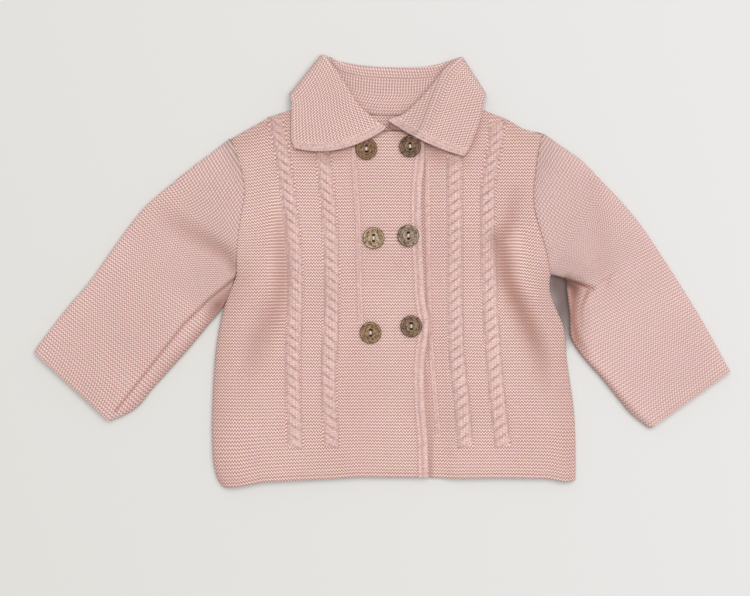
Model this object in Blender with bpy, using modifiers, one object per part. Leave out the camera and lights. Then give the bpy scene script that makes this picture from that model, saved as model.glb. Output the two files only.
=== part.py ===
"""A double-breasted knitted baby coat, laid flat on its back.

The coat lies on the plane z = 0 with its collar towards +Y. Left and right in the names of
the pieces are the wearer's, so front_right and sleeve_right lie at -X. All sizes and places
are in millimetres and are turned into metres as a mesh is made.
"""

import math
from collections import namedtuple

import bmesh
import bpy
import numpy as np

MM = 0.001

# The cloth and how it lies
WALL = 2.4  # thickness of the knitted wall
GAP = 0.3  # between two pieces at a seam
SLEEVE_GAP = 0.7  # the same at the armholes, whose two edges have unlike facets
LOFT = 8.3  # height of the upper face where a front lies over the back
FOLD_RUN = 6.0  # distance in from a folded edge at which the cloth reaches its full height
FOLD_STEPS = [0.0, 1.4, 6.0]  # distances in from a folded edge at which columns run
MIDDLE = LOFT / 2  # height of a folded edge
NARROW_SHARE = 0.3  # the most of a narrow front's width that the columns beside its fold take
STEEPEST = 4.0  # the most that those columns spread where an outline runs steeply
EDGE_WIDTH = 1.0  # a point this near an edge and outside it counts as lying on it
TUCKED_TOP = 5.1  # upper face of the left front under the right one
TUCK_RISE = [2.7, 6.0, 12.7, 16.0]  # columns from its rib on which it climbs to full height

# Rows of the panels
HEM = -172.5
HEM_ROWS = [0.0, 8.0, 17.0]  # heights over the hem of the lowest rows of a front
NECK_EDGE = 116.5  # where the right front's opening turns into its neckline
BENDS_CLOSE = 97.0  # above this the columns bend at every row
NECK_ROWS = [138.0, 142.5]  # the highest rows of a front under its neck point
NECK_POINT_HEIGHT = 145.5
ROWS_TOP = 133.0  # the cables' rows end below this
ROW_CLEARANCE = 1.3  # between a cable's row and the corner of the neckline
TWIST = 13.0  # length of one cable twist
ROW = TWIST / 4
BACK_HEM_ROWS = [0.0, 5.0, 14.0]  # heights over the hem of the lowest rows of the back
BACK_WAIST = -29.0  # above this the back's rows are twice as close
BACK_TOP = 94.0  # above this they follow the shoulders and the neckline
BACK_COLUMNS = 25

# Relief of the fronts
CABLE_HALF = 5.4
CABLE_HEIGHT = 2.0
CABLE_VALLEY = 0.25  # height between two strands, as a share of the whole
CABLE_SLIP = 3.0  # how far a strand climbs from the middle of the cable to its edge
CABLE_BOTTOM = -146.0
CABLE_LEAD = 2.0  # how far below its bottom a cable begins to rise
CABLE_START = 5.0  # length over which it rises
CABLE_END = 8.0  # length over which it sinks at its top
RIB_HALF = 2.2
RIB_HEIGHT = 0.6
RIB_START = 4.0  # length over which a rib rises and sinks, half of it beyond its end
EDGING_END = 3.0  # length over which the edging sinks at the neckline

# Buttons
BUTTON_RADIUS = 9.0
BUTTON_HEIGHT = 2.8
HOLE_RADIUS = 1.0
HOLE_SPACING = 4.6
HOLE_SIDES = 8
BUTTON_SIDES = 18

# Collar: one strip, folded along its roll line
COLLAR_WALL = 2.2
COLLAR_CENTRE = 7.1  # height that the strip turns round at the sides of the neck
STAND_REACH = 2.8  # from that height to the middle of the stand
LEAF_REACH = 6.0  # from that height to the middle of the leaf
LEAF_SETTLE = 1.6  # how far the leaf's free edge sinks towards the body
COLLAR_STATIONS = 46
STAND_SHARES = [0.0, 0.5]  # rows of the stand, as shares of its width
BEND_ANGLES = [0, 45, 90, 135, 180]  # rows round the roll line, in degrees
LEAF_SHARES = [0.12, 0.4, 0.7, 1.0]  # rows of the leaf, as shares of its width

Point = namedtuple("Point", "x y")
Crease = namedtuple("Crease", "x0 y0 x1 y1 half_width share")
Fold = namedtuple("Fold", "neck_x neck_y roll_x roll_y free_x free_y turn sag")
Button = namedtuple("Button", "name x y lift")
Corner = namedtuple("Corner", "radius height")

# Outlines, from the hem up. A row is a point of the outline.
SIDE_RIGHT = [
    Point(-132.5, -172.5),
    Point(-136.5, -167.5),
    Point(-140.0, -158.0),
    Point(-142.0, -137.0),
    Point(-141.5, -106.5),
    Point(-138.0, -60.0),
    Point(-133.0, -33.5),
    Point(-121.0, -1.0),
]
ARMHOLE_RIGHT = [
    Point(-121.0, -1.0),
    Point(-121.0, 20.0),
    Point(-118.0, 45.0),
    Point(-115.0, 65.0),
    Point(-117.0, 84.0),
    Point(-121.0, 97.0),
    Point(-126.5, 110.5),
]
SHOULDER_RIGHT = [
    Point(-126.5, 110.5),
    Point(-110.5, 119.5),
    Point(-88.0, 131.0),
    Point(-78.5, 134.0),
    Point(-51.0, NECK_POINT_HEIGHT),
]
SIDE_LEFT = [
    Point(162.0, -172.5),
    Point(162.0, -151.0),
    Point(161.0, -121.5),
    Point(154.5, -72.5),
    Point(151.5, -44.5),
    Point(145.0, -29.5),
    Point(140.5, -15.0),
    Point(141.0, -3.0),
]
ARMHOLE_LEFT = [
    Point(141.0, -3.0),
    Point(137.5, 17.0),
    Point(132.0, 36.0),
    Point(128.0, 51.0),
    Point(127.0, 66.0),
    Point(128.5, 82.0),
    Point(131.0, 100.0),
    Point(134.5, 115.0),
]
SHOULDER_LEFT = [
    Point(134.5, 115.0),
    Point(119.5, 118.5),
    Point(104.5, 127.0),
    Point(91.5, 132.0),
    Point(65.0, NECK_POINT_HEIGHT),
]
FRONT_EDGE = [
    Point(39.0, -172.5),
    Point(38.3, -141.0),
    Point(35.5, -104.0),
    Point(35.6, -76.0),
    Point(38.6, -52.0),
    Point(39.0, -42.0),
    Point(36.2, -24.0),
    Point(34.6, 5.0),
    Point(33.0, 45.0),
    Point(33.2, 68.0),
    Point(35.6, 92.0),
    Point(36.0, 116.0),
]
NECKLINE_RIGHT = [
    Point(-12.0, 117.0),
    Point(-26.5, 122.0),
    Point(-41.0, 133.0),
    Point(-48.0, NECK_POINT_HEIGHT),
]
TUCKED_EDGE = [Point(-27.0, -172.5), Point(-24.5, 60.0), Point(-26.0, 116.0)]
NECKLINE_LEFT = [
    Point(25.0, 117.0),
    Point(40.0, 122.0),
    Point(55.0, 133.0),
    Point(62.0, NECK_POINT_HEIGHT),
]
NECKLINE_BACK = [
    Point(-51.0, NECK_POINT_HEIGHT),
    Point(-46.0, 142.0),
    Point(-35.0, 137.0),
    Point(-15.0, 132.5),
    Point(6.5, 131.0),
    Point(28.0, 132.5),
    Point(48.5, 137.0),
    Point(60.0, 142.0),
    Point(65.0, NECK_POINT_HEIGHT),
]

# Middle lines of the cables and of the double ribs, from the bottom up
CABLE_OUTER_RIGHT = [
    Point(-72.5, -146.0),
    Point(-74.0, -110.0),
    Point(-74.3, -75.0),
    Point(-71.0, 0.0),
    Point(-76.5, 59.5),
    Point(-82.5, 100.0),
    Point(-89.5, 131.0),
]
CABLE_INNER_RIGHT = [
    Point(-42.0, -146.0),
    Point(-44.5, -98.0),
    Point(-41.8, -20.0),
    Point(-43.5, 35.0),
    Point(-47.0, 75.5),
    Point(-51.0, 112.0),
]
CABLE_INNER_LEFT = [
    Point(69.5, -146.0),
    Point(66.0, -102.0),
    Point(63.5, -81.0),
    Point(61.0, 0.0),
    Point(61.0, 26.0),
    Point(60.5, 100.0),
]
CABLE_OUTER_LEFT = [
    Point(101.0, -146.0),
    Point(94.0, -81.0),
    Point(91.0, -38.5),
    Point(88.5, 47.0),
    Point(88.5, 68.5),
    Point(95.0, 111.0),
    Point(96.5, 129.0),
]
RIB_RIGHT = [
    Point(-17.8, -43.0),
    Point(-19.2, 0.0),
    Point(-20.0, 42.0),
    Point(-22.7, 80.0),
    Point(-24.0, 106.0),
]
RIB_LEFT = [Point(47.0, -137.0), Point(40.5, -55.0), Point(37.5, 100.0)]

# How far the hem hangs below its own row, by x
HEM_DROOP = [
    Point(-133.0, -8.5),
    Point(-120.0, -8.0),
    Point(-99.5, -4.0),
    Point(-69.5, -2.5),
    Point(-39.0, -1.0),
    Point(-19.0, 0.3),
    Point(36.0, 0.0),
    Point(57.0, -1.0),
    Point(100.0, -0.5),
    Point(140.0, -1.0),
    Point(153.0, -4.0),
    Point(162.0, -2.5),
]
DROOP_STARTS = -112.0

# Sleeves: the upper folded edge from the shoulder to the cuff, and the lower one from the armpit
SLEEVE_RIGHT_UPPER = [
    Point(-127.4, 110.9),
    Point(-138.0, 102.5),
    Point(-161.5, 85.0),
    Point(-175.5, 73.5),
    Point(-197.0, 55.0),
    Point(-225.0, 19.0),
    Point(-242.5, -6.0),
    Point(-263.5, -31.0),
    Point(-291.5, -67.5),
]
SLEEVE_RIGHT_LOWER = [
    Point(-134.5, -32.5),
    Point(-144.0, -43.5),
    Point(-161.5, -64.5),
    Point(-179.0, -84.0),
    Point(-193.5, -100.0),
    Point(-204.0, -113.0),
    Point(-214.5, -120.0),
    Point(-228.5, -125.5),
]
SLEEVE_LEFT_UPPER = [
    Point(135.3, 115.2),
    Point(149.0, 105.5),
    Point(166.0, 93.5),
    Point(183.0, 76.5),
    Point(212.0, 44.5),
    Point(239.0, 5.0),
    Point(266.5, -39.0),
    Point(291.5, -84.0),
]
SLEEVE_LEFT_LOWER = [
    Point(147.0, -4.2),
    Point(153.0, -6.5),
    Point(154.5, -17.0),
    Point(156.8, -35.0),
    Point(158.0, -56.0),
    Point(169.5, -73.5),
    Point(183.0, -88.5),
    Point(196.5, -105.0),
    Point(208.5, -119.5),
    Point(224.5, -132.0),
]
SLEEVE_SECTIONS = 30
SLEEVE_STEP = 4.0  # between the points of a sleeve's outline
SLEEVE_FACE = 8  # columns on a sleeve's face between those beside its two folds
SEAM_COLUMNS = [9.5, 13.0, 17.0, 25.0]  # along the underarm seam, by the distance from the lower edge
# Soft creases of the sleeves. share is how much of the room between the two layers a crease
# takes; a negative one is a ridge.
CREASES_RIGHT = [
    Crease(-121.0, -3.0, -161.5, -43.5, 4.0, 0.8),
    Crease(-161.5, -43.5, -223.0, -117.5, 3.5, 0.65),
    Crease(-181.0, 53.5, -150.0, 28.0, 11.0, 0.6),
    Crease(-150.0, 28.0, -122.0, 8.0, 9.0, 0.9),
    Crease(-150.0, -5.0, -185.0, -38.0, 12.0, -0.45),
]
CREASES_LEFT = [
    Crease(150.0, -7.0, 169.0, -15.5, 7.0, 1.0),
    Crease(161.0, -20.0, 160.0, -46.0, 4.0, 0.9),
    Crease(160.0, 12.0, 196.0, -10.0, 9.0, -0.6),
    Crease(174.0, 68.0, 188.0, -6.0, 9.0, 0.45),
]

# The strip's neck edge, its roll line and its free edge from one short end to the other. turn
# is the leaf's turn about the neck, 90 in front and -90 behind, and sag is how far the leaf
# hangs below a straight line across it.
COLLAR_FOLDS = [
    Fold(6.0, 116.5, 3.0, 119.5, -73.5, 102.5, 90, 9.0),
    Fold(-5.0, 116.0, -4.0, 124.0, -75.5, 110.0, 90, 7.0),
    Fold(-16.0, 118.5, -12.5, 131.0, -75.7, 119.5, 90, 4.5),
    Fold(-27.0, 123.5, -20.5, 139.0, -75.6, 127.5, 90, 2.5),
    Fold(-37.0, 131.0, -30.0, 154.0, -75.4, 134.0, 90, 1.0),
    Fold(-42.5, 138.5, -38.5, 166.5, -75.0, 138.5, 90, 0.0),
    Fold(-44.5, 143.5, -44.0, 174.0, -74.0, 141.0, 60, 0.0),
    Fold(-45.0, 147.0, -46.0, 177.0, -72.0, 143.5, 0, 0.0),
    Fold(-42.5, 148.5, -43.0, 177.5, -67.5, 144.5, -60, 0.0),
    Fold(-37.5, 141.5, -37.0, 175.0, -56.0, 149.0, -90, 0.0),
    Fold(-26.0, 136.0, -24.0, 172.3, -36.0, 143.0, -90, 0.0),
    Fold(-8.0, 131.5, -8.0, 170.3, -14.0, 136.5, -90, 0.0),
    Fold(6.5, 130.5, 10.0, 169.5, 7.0, 135.0, -90, 0.0),
    Fold(22.0, 131.5, 28.0, 169.5, 28.0, 136.5, -90, 0.0),
    Fold(38.0, 135.5, 44.0, 171.5, 49.0, 143.0, -90, 0.0),
    Fold(50.5, 141.0, 54.5, 174.5, 70.0, 149.0, -90, 0.0),
    Fold(56.5, 147.5, 60.5, 176.0, 80.0, 146.0, -60, 0.0),
    Fold(58.5, 147.0, 63.0, 175.5, 82.0, 144.5, 0, 0.0),
    Fold(57.5, 143.5, 60.5, 173.5, 83.5, 141.5, 60, 0.0),
    Fold(55.5, 137.5, 52.5, 167.5, 84.0, 136.0, 90, 0.0),
    Fold(48.5, 129.0, 44.0, 156.5, 82.5, 128.5, 90, 0.4),
    Fold(38.0, 122.5, 33.0, 144.0, 79.5, 119.0, 90, 1.0),
    Fold(26.0, 118.0, 22.0, 133.0, 76.0, 110.0, 90, 1.8),
    Fold(15.5, 117.5, 14.0, 128.0, 72.5, 101.5, 90, 2.6),
    Fold(6.5, 118.5, 5.0, 125.5, 68.5, 95.5, 90, 3.2),
]

# Relief of the rolled front edging, by the distance in from the edge
EDGING = [
    Point(0.0, -0.4),
    Point(0.9, 1.0),
    Point(2.6, 1.5),
    Point(4.3, 0.9),
    Point(5.4, -0.2),
    Point(7.0, 0.6),
    Point(8.8, 0.0),
]

# Half of a button's section, from the middle of its face, over its rim, to the middle of its back
BUTTON_SECTION = [
    Corner(0.0, 2.2),
    Corner(4.3, 2.2),
    Corner(5.0, 1.7),
    Corner(7.1, 1.7),
    Corner(8.0, BUTTON_HEIGHT),
    Corner(BUTTON_RADIUS, 2.0),
    Corner(8.4, 0.6),
    Corner(6.5, 0.0),
    Corner(0.0, 0.0),
]
# lift is the height of a button's back over the plain face
BUTTONS = [
    Button("button_top_right", -13.0, 102.0, 0.3),
    Button("button_top_left", 23.5, 104.0, 0.9),
    Button("button_middle_right", -7.0, 27.5, 0.3),
    Button("button_middle_left", 22.0, 29.5, 0.9),
    Button("button_bottom_right", -9.5, -51.5, 0.3),
    Button("button_bottom_left", 24.5, -46.0, 0.9),
]


def ease(t):
    """0 to 1 with no slope at either end."""
    t = np.clip(t, 0, 1)
    return t * t * (3 - 2 * t)


def smooth_through(rows, keys, at):
    """Rows read from a smooth curve through a table whose rows stand at these keys."""
    rows = np.array(rows, float)
    slopes = np.gradient(rows, keys, axis=0)
    first = np.clip(np.searchsorted(keys, at, side="right") - 1, 0, len(keys) - 2)
    span = (keys[first + 1] - keys[first])[:, None]
    t = (at - keys[first])[:, None] / span
    start = (2 * t**3 - 3 * t**2 + 1) * rows[first] + (t**3 - 2 * t**2 + t) * span * slopes[first]
    return start + (3 * t**2 - 2 * t**3) * rows[first + 1] + (t**3 - t**2) * span * slopes[first + 1]


def lengths(line):
    """Distance of each point of a line from its start."""
    return np.insert(np.cumsum(np.hypot(*np.diff(np.array(line, float), axis=0).T)), 0, 0)


def smooth(line, step=TWIST):
    """A line through the same points, rounded, with a point about every step."""
    keys = lengths(line)
    at = np.linspace(0, keys[-1], round(keys[-1] / step) + 2)
    return [Point(*row) for row in smooth_through(line, keys, at)]


def bent(line, levels):
    """A line that bends only at some heights, besides its ends."""
    start, end = line[0].y, line[-1].y
    heights = [start, *(y for y in levels if start < y < end), end]
    return [Point(float(x_at(line, y)), float(y)) for y in heights]


def x_at(line, y):
    """x of an outline at the height y."""
    return np.interp(y, [p.y for p in line], [p.x for p in line])


def height_at(line, x):
    """y of a line whose points run towards +X."""
    return np.interp(x, [p.x for p in line], [p.y for p in line])


def droop(x, y):
    """How far the cloth at a nominal place hangs below it, near the hem."""
    return height_at(HEM_DROOP, x) * ease((DROOP_STARTS - y) / (DROOP_STARTS - HEM))


def along(line, shares):
    """Points at these shares of a line's length."""
    length = lengths(line)
    at = np.asarray(shares) * length[-1]
    return np.stack([np.interp(at, length, column) for column in np.array(line, float).T], axis=-1)


def from_folds(x, y, lines, inside=None):
    """(distance, direction away from it) to the nearest of some folded edges.

    With a place inside the outline, points that lie on an edge take its inward direction.
    """
    best = np.full(np.shape(x), np.inf)
    away = np.zeros((*np.shape(x), 2))
    for line in lines:
        for (ax, ay), (bx, by) in zip(line[:-1], line[1:]):
            dx, dy = bx - ax, by - ay
            share = np.clip(((x - ax) * dx + (y - ay) * dy) / (dx * dx + dy * dy), 0, 1)
            offset = np.stack([x - ax - share * dx, y - ay - share * dy], axis=-1)
            distance = np.linalg.norm(offset, axis=-1)
            if inside is not None:
                inwards = np.array([-dy, dx]) / math.hypot(dx, dy)
                inwards *= math.copysign(1, inwards @ (inside.x - ax, inside.y - ay))
                on_edge = (offset @ inwards < 0.01 * EDGE_WIDTH) & (distance < EDGE_WIDTH)
                distance = np.where(on_edge, 0, distance)
                offset = np.where(on_edge[..., None], inwards, offset)
            nearer = distance < best
            best = np.where(nearer, distance, best)
            scale = np.maximum(np.linalg.norm(offset, axis=-1, keepdims=True), 1e-9)
            away[nearer] = (offset / scale)[nearer]
    return best, away


def fold_rise(distance):
    """Height of the cloth over a folded edge as a share of the whole, at a distance from it."""
    return np.sqrt(1 - np.clip(1 - distance / FOLD_RUN, 0, 1) ** 2)


def crease_share(x, y, creases):
    """How much of the room between two layers soft creases take."""
    share = np.zeros(np.shape(x))
    for crease in creases:
        distance, _ = from_folds(x, y, [[(crease.x0, crease.y0), (crease.x1, crease.y1)]])
        pressed = crease.share * np.exp(-((distance / crease.half_width) ** 2))
        share = np.where(np.abs(pressed) > np.abs(share), pressed, share)
    return share


def cable_shape(x, y, line):
    """(place across a cable, -1 to 1; how much of it is there, 0 to 1)."""
    across = np.clip((x - x_at(line, y)) / CABLE_HALF, -1, 1)
    present = ease((y - CABLE_BOTTOM + CABLE_LEAD) / CABLE_START) * ease((line[-1].y - y) / CABLE_END)
    return across, present


def cable_relief(x, y, line):
    """Height of a rope cable at its nominal rows."""
    across, present = cable_shape(x, y, line)
    strand = np.sqrt(np.abs(np.sin(math.pi * (y - CABLE_BOTTOM) / TWIST)))
    strand = CABLE_VALLEY + (1 - CABLE_VALLEY) * strand
    return CABLE_HEIGHT * np.sqrt(1 - across**2) * strand * present


def cable_slip(x, y, line):
    """How far a cable's rows are slid along it, so that its strands cross it at a slant."""
    across, present = cable_shape(x, y, line)
    steepness = 1.5 * math.sqrt(3)  # makes the most of the curve below 1
    return CABLE_SLIP * steepness * across * (1 - across**2) * present


def rib_relief(x, y, line):
    """Height of the double rib that runs down a front."""
    across = np.clip(np.abs(x - x_at(line, y)) / RIB_HALF, 0, 1)
    start = ease((y - line[0].y) / RIB_START + 0.5)
    end = ease((line[-1].y - y) / RIB_START + 0.5)
    return RIB_HEIGHT * np.sin(math.pi * across) ** 2 * start * end


def edging_relief(x, y, edge):
    """Height of the rolled edging and the small rib beside it along a front's edge."""
    inwards = x_at(edge, y) - x
    return height_at(EDGING, inwards) * ease((NECK_EDGE - 0.5 - y) / EDGING_END)


def grid(rows, columns):
    """A flat grid in a new bmesh. Its points remember their row and column."""
    bm = bmesh.new()
    bmesh.ops.create_grid(bm, x_segments=columns - 1, y_segments=rows - 1, size=0.5)
    row = bm.verts.layers.int.new("row")
    column = bm.verts.layers.int.new("column")
    for vert in bm.verts:
        vert[row] = round((vert.co.y + 0.5) * (rows - 1))
        vert[column] = round((vert.co.x + 0.5) * (columns - 1))
    return bm


def place(bm, verts, points):
    """Moves each of these points of a grid to its own place in an array, in millimetres."""
    row = bm.verts.layers.int["row"]
    column = bm.verts.layers.int["column"]
    for vert in verts:
        vert.co = points[vert[row], vert[column]] * MM


def wall(name, outer, inner, material):
    """A closed wall between two grids of points that have the same rows and columns."""
    bm = grid(*outer.shape[:2])
    place(bm, bm.verts, outer)
    bmesh.ops.remove_doubles(bm, verts=bm.verts, dist=1e-6)
    made = bmesh.ops.extrude_face_region(bm, geom=bm.faces[:])
    place(bm, [v for v in made["geom"] if isinstance(v, bmesh.types.BMVert)], inner)
    bmesh.ops.remove_doubles(bm, verts=bm.verts, dist=1e-6)
    bmesh.ops.recalc_face_normals(bm, faces=bm.faces)
    mesh = bpy.data.meshes.new(name)
    bm.to_mesh(mesh)
    bm.free()
    mesh.materials.append(material)
    mesh.shade_smooth()
    mesh.set_sharp_from_angle(angle=math.radians(30))
    piece = bpy.data.objects.new(name, mesh)
    COAT.objects.link(piece)
    return piece


def fold_normal(distance, away, face):
    """Unit normals of cloth rounded down to its folds. face is 1 for an upper layer, -1 for a lower one."""
    flat = np.clip(1 - distance / FOLD_RUN, 0, 1) / FOLD_RUN
    steep = face * fold_rise(distance) / MIDDLE
    normal = np.stack([-flat * away[..., 0], -flat * away[..., 1], steep], axis=-1)
    return normal / np.linalg.norm(normal, axis=-1, keepdims=True)


def panel_rows():
    """(nominal heights of a front's rows, which of them its columns bend at)."""
    cables = np.arange(CABLE_BOTTOM, ROWS_TOP, ROW)
    bends = (np.arange(len(cables)) % 4 == 0) | (cables > BENDS_CLOSE)
    kept = np.abs(cables - NECK_EDGE) > ROW_CLEARANCE
    ends = [*(HEM + height for height in HEM_ROWS), CABLE_BOTTOM - 2 * CABLE_LEAD]
    neckline = [NECK_EDGE - 0.5, NECK_EDGE + 0.5, *NECK_ROWS, NECK_POINT_HEIGHT]
    rows = np.concatenate([ends, cables[kept], neckline])
    bends = np.concatenate([np.full(len(ends), True), bends[kept], np.full(len(neckline), True)])
    order = np.argsort(rows)
    return rows[order], bends[order]


def front_columns(rows, bends, half):
    """x of each column of a front at its rows, from its side seam to its opening."""
    y = rows[bends]
    outer = half.mirror * x_at(half.side + half.armhole[1:] + half.shoulder[1:], y)
    inner = half.mirror * x_at(half.opening + half.neckline, y)
    slope = np.clip(np.hypot(1, np.gradient(outer, y)), 1, STEEPEST)
    room = (inner - outer) * NARROW_SHARE
    columns = [outer + np.minimum(step * slope, room * step / FOLD_RUN) for step in FOLD_STEPS]
    below_neck = ease(NECK_EDGE + 0.5 - y)
    edge = [inner - point.x * below_neck for point in reversed(EDGING)] if half.edging else [inner]
    guides = [(cable, CABLE_OFFSETS) for cable in half.cables] + [(half.rib, half.rib_offsets)]
    low = columns[-1]
    for line, offsets in guides:
        middle = half.mirror * x_at(line, y)
        columns += [np.clip(middle + offset, low, edge[0]) for offset in offsets]
    columns = np.maximum.accumulate(np.stack(columns + edge, axis=-1), axis=-1)
    return half.mirror * np.stack([np.interp(rows, y, column) for column in columns.T], axis=-1)


def front_top(x, y, half):
    """Height of a front's plain face. The left front lies tucked under the right one."""
    if half.edging:
        return np.full(x.shape, LOFT)
    from_rib = x - x_at(half.rib, y)
    climb = ease((from_rib - TUCK_RISE[0]) / (TUCK_RISE[-1] - TUCK_RISE[0]))
    return TUCKED_TOP + (LOFT - TUCKED_TOP) * climb


def front(half):
    """One front: a wall whose outer face carries the relief over a plain inner face."""
    rows, bends = panel_rows()
    half = half._replace(
        opening=bent(half.opening, rows[bends]),
        cables=[bent(cable, rows[bends]) for cable in half.cables],
        rib=bent(half.rib, rows[bends]),
    )
    x = front_columns(rows, bends, half)
    y = np.broadcast_to(rows[:, None], x.shape)
    low = y + droop(x, y)
    seam = np.stack([x[:, 0], low[:, 0]], axis=-1)
    folds = [seam[rows <= half.side[-1].y + 1], seam[rows >= half.shoulder[0].y - 1]]
    distance, away = from_folds(x, low, folds, BODY_CENTRE)
    rise = fold_rise(distance)
    edge_height = MIDDLE + GAP / 2
    height = edge_height + (front_top(x, y, half) - edge_height) * rise
    outer = np.stack([x, low, height], axis=-1)
    inner = outer - WALL * fold_normal(distance, away, 1)
    relief = rib_relief(x, y, half.rib)
    for cable in half.cables:
        relief = relief + cable_relief(x, y, cable)
        outer[..., 1] -= half.mirror * cable_slip(x, y, cable)
    if half.edging:
        relief = relief + edging_relief(x, y, half.opening)
    outer[..., 2] += relief * rise
    return wall(half.name, outer, inner, CLOTH)


def back():
    """The back: its outer face lies on the ground and its rounded edges meet the fronts'."""
    edge = FOLD_STEPS
    shares = np.linspace(0, 1, BACK_COLUMNS)[1:-1]
    hem_rows = [HEM + height for height in BACK_HEM_ROWS]
    wide_rows = np.arange(CABLE_BOTTOM, BACK_WAIST, TWIST)
    rows = np.concatenate([hem_rows, wide_rows, np.arange(BACK_WAIST, BACK_TOP, TWIST / 2)])
    left = x_at(RIGHT.side + RIGHT.armhole[1:], rows)
    right = x_at(LEFT.side + LEFT.armhole[1:], rows)

    def spread(start, end):
        """Columns from one edge to the other, with the close ones beside each."""
        inside = start + edge[-1] + (end - start - 2 * edge[-1]) * shares
        return np.concatenate([start + np.array(edge), inside, end - np.array(edge[::-1])])

    x = [spread(a, b) for a, b in zip(left, right)]
    y = [np.full(len(x[0]), row) for row in rows]
    top_line = RIGHT.shoulder + smooth(NECKLINE_BACK)[1:-1] + LEFT.shoulder[::-1]
    tip = spread(top_line[0].x, top_line[-1].x)
    top = height_at(top_line, tip)
    start = rows[-1]
    for inwards in reversed(edge):
        share = 1 - inwards / (top - start)
        x.append(x[len(rows) - 1] * (1 - share) + tip * share)
        y.append(start + (top - start) * share)
    x, y = np.array(x), np.array(y)
    low = y + droop(x, y)
    plan = np.stack([x, low], axis=-1)
    seams = np.sum(rows < RIGHT.side[-1].y)
    shoulders = [plan[-1, tip <= NECKLINE_BACK[0].x], plan[-1, tip >= NECKLINE_BACK[-1].x]]
    distance, away = from_folds(x, low, [plan[:seams, 0], plan[:seams, -1], *shoulders], BODY_CENTRE)
    height = (MIDDLE - GAP / 2) * (1 - fold_rise(distance))
    outer = np.stack([x, low, height], axis=-1)
    return wall("back", outer, outer - WALL * fold_normal(distance, away, -1), CLOTH)


def beside(line, side):
    """A line moved clear of the body's edge, towards a sleeve."""
    return [Point(x + side * SLEEVE_GAP, y) for x, y in line]


def sleeve(name, upper, armhole, lower, creases):
    """A sleeve as a flattened tube, open at its armhole and its cuff.

    Its sections run from a foot, which goes down the armhole and on along the lower folded
    edge, to a head on the upper folded edge. They are closed from the armpit on.
    """
    upper = smooth(upper, SLEEVE_STEP)
    feet = [upper[0], *armhole[-2::-1], *smooth(lower, SLEEVE_STEP)]
    armpit = lengths(feet)[len(armhole) - 1] / lengths(feet)[-1]
    open_sections = round(SLEEVE_SECTIONS * armpit)
    shares = np.linspace(0, armpit, open_sections + 1)
    shares = np.append(shares, np.linspace(armpit, 1, SLEEVE_SECTIONS - open_sections + 1)[1:])
    foot, head = along(feet, shares), along(upper, shares)
    chord = head - foot
    width = np.linalg.norm(chord, axis=1, keepdims=True)
    chord = np.where(width > 0, chord / np.maximum(width, 1e-9), (0, -1))
    fold = np.array(FOLD_STEPS)
    across = []
    for room in width[:, 0]:
        near = np.append(fold, SEAM_COLUMNS) * min(1, room / 3 / SEAM_COLUMNS[-1])
        far = room - fold[::-1] * min(1, room / 3 / FOLD_RUN)
        face = np.concatenate([near, np.linspace(near[-1], far[0], SLEEVE_FACE)[1:-1], far])
        across.append(np.concatenate([face, face[-2::-1]]))
    across = np.array(across)
    plan = foot[:, None] + across[..., None] * chord[:, None]
    x, y = plan[..., 0], plan[..., 1]
    distance, away = from_folds(x, y, [upper, feet[len(armhole) - 1 :]])
    ridge = across.shape[1] // 2
    distance[:, ridge] = 0
    away[:, ridge] = -chord
    for column in (0, -1):
        distance[open_sections:, column] = 0
        away[open_sections:, column] = chord[open_sections:]
    distance[0] = 0
    away[0] = (0, -1)
    face = np.where(np.arange(x.shape[1]) <= ridge, 1, -1)
    rise = fold_rise(distance)
    room = np.maximum(LOFT * rise - 2 * WALL - GAP, 0)
    height = MIDDLE + face * MIDDLE * rise
    height -= np.where(face > 0, crease_share(x, y, creases) * room, 0)
    outer = np.stack([x, y, height], axis=-1)
    return wall(name, outer, outer - WALL * fold_normal(distance, away, face), CLOTH)


def collar_middle(stations):
    """Middle of the collar's wall: a row for each station, from the stand to the free edge."""
    folds = np.arange(len(COLLAR_FOLDS), dtype=float)
    table = smooth_through(COLLAR_FOLDS, folds, np.linspace(0, folds[-1], stations))
    neck, roll, free = table[:, 0:2], table[:, 2:4], table[:, 4:6]
    turn = np.radians(np.clip(table[:, 6], -90, 90))
    leaf = roll - free
    leaf /= np.linalg.norm(leaf, axis=1, keepdims=True)
    half_way = free[len(free) // 2]
    outwards = np.stack([-leaf[:, 1], leaf[:, 0]], axis=1)
    outwards *= np.sign(np.sum(outwards * (free - half_way), axis=1, keepdims=True))
    away = np.stack([np.cos(turn) * outwards[:, 0], np.cos(turn) * outwards[:, 1], np.sin(turn)], axis=1)
    apex = roll - neck
    apex = leaf + apex / np.linalg.norm(apex, axis=1, keepdims=True)
    apex /= np.linalg.norm(apex, axis=1, keepdims=True)
    bend = (LEAF_REACH - STAND_REACH) / 2

    def point(plan, reach):
        """Places at a distance from the middle height, on the leaf's side."""
        at = np.concatenate([plan, np.full((len(plan), 1), COLLAR_CENTRE)], axis=1)
        return at + away * reach

    shoulder = roll - bend * apex
    middle = [point(neck + (shoulder - neck) * share, STAND_REACH) for share in STAND_SHARES]
    for angle in np.radians(BEND_ANGLES):
        reach = STAND_REACH + bend * (1 - math.cos(angle))
        middle.append(point(shoulder + bend * math.sin(angle) * apex, reach))
    for share in LEAF_SHARES:
        settle = LEAF_REACH - LEAF_SETTLE * ease(share) * np.maximum(np.sin(turn), 0)[:, None]
        plan = shoulder + (free - shoulder) * share
        plan[:, 1] -= 4 * share * (1 - share) * table[:, 7]
        middle.append(point(plan, settle))
    return np.stack(middle, axis=1)


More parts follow.
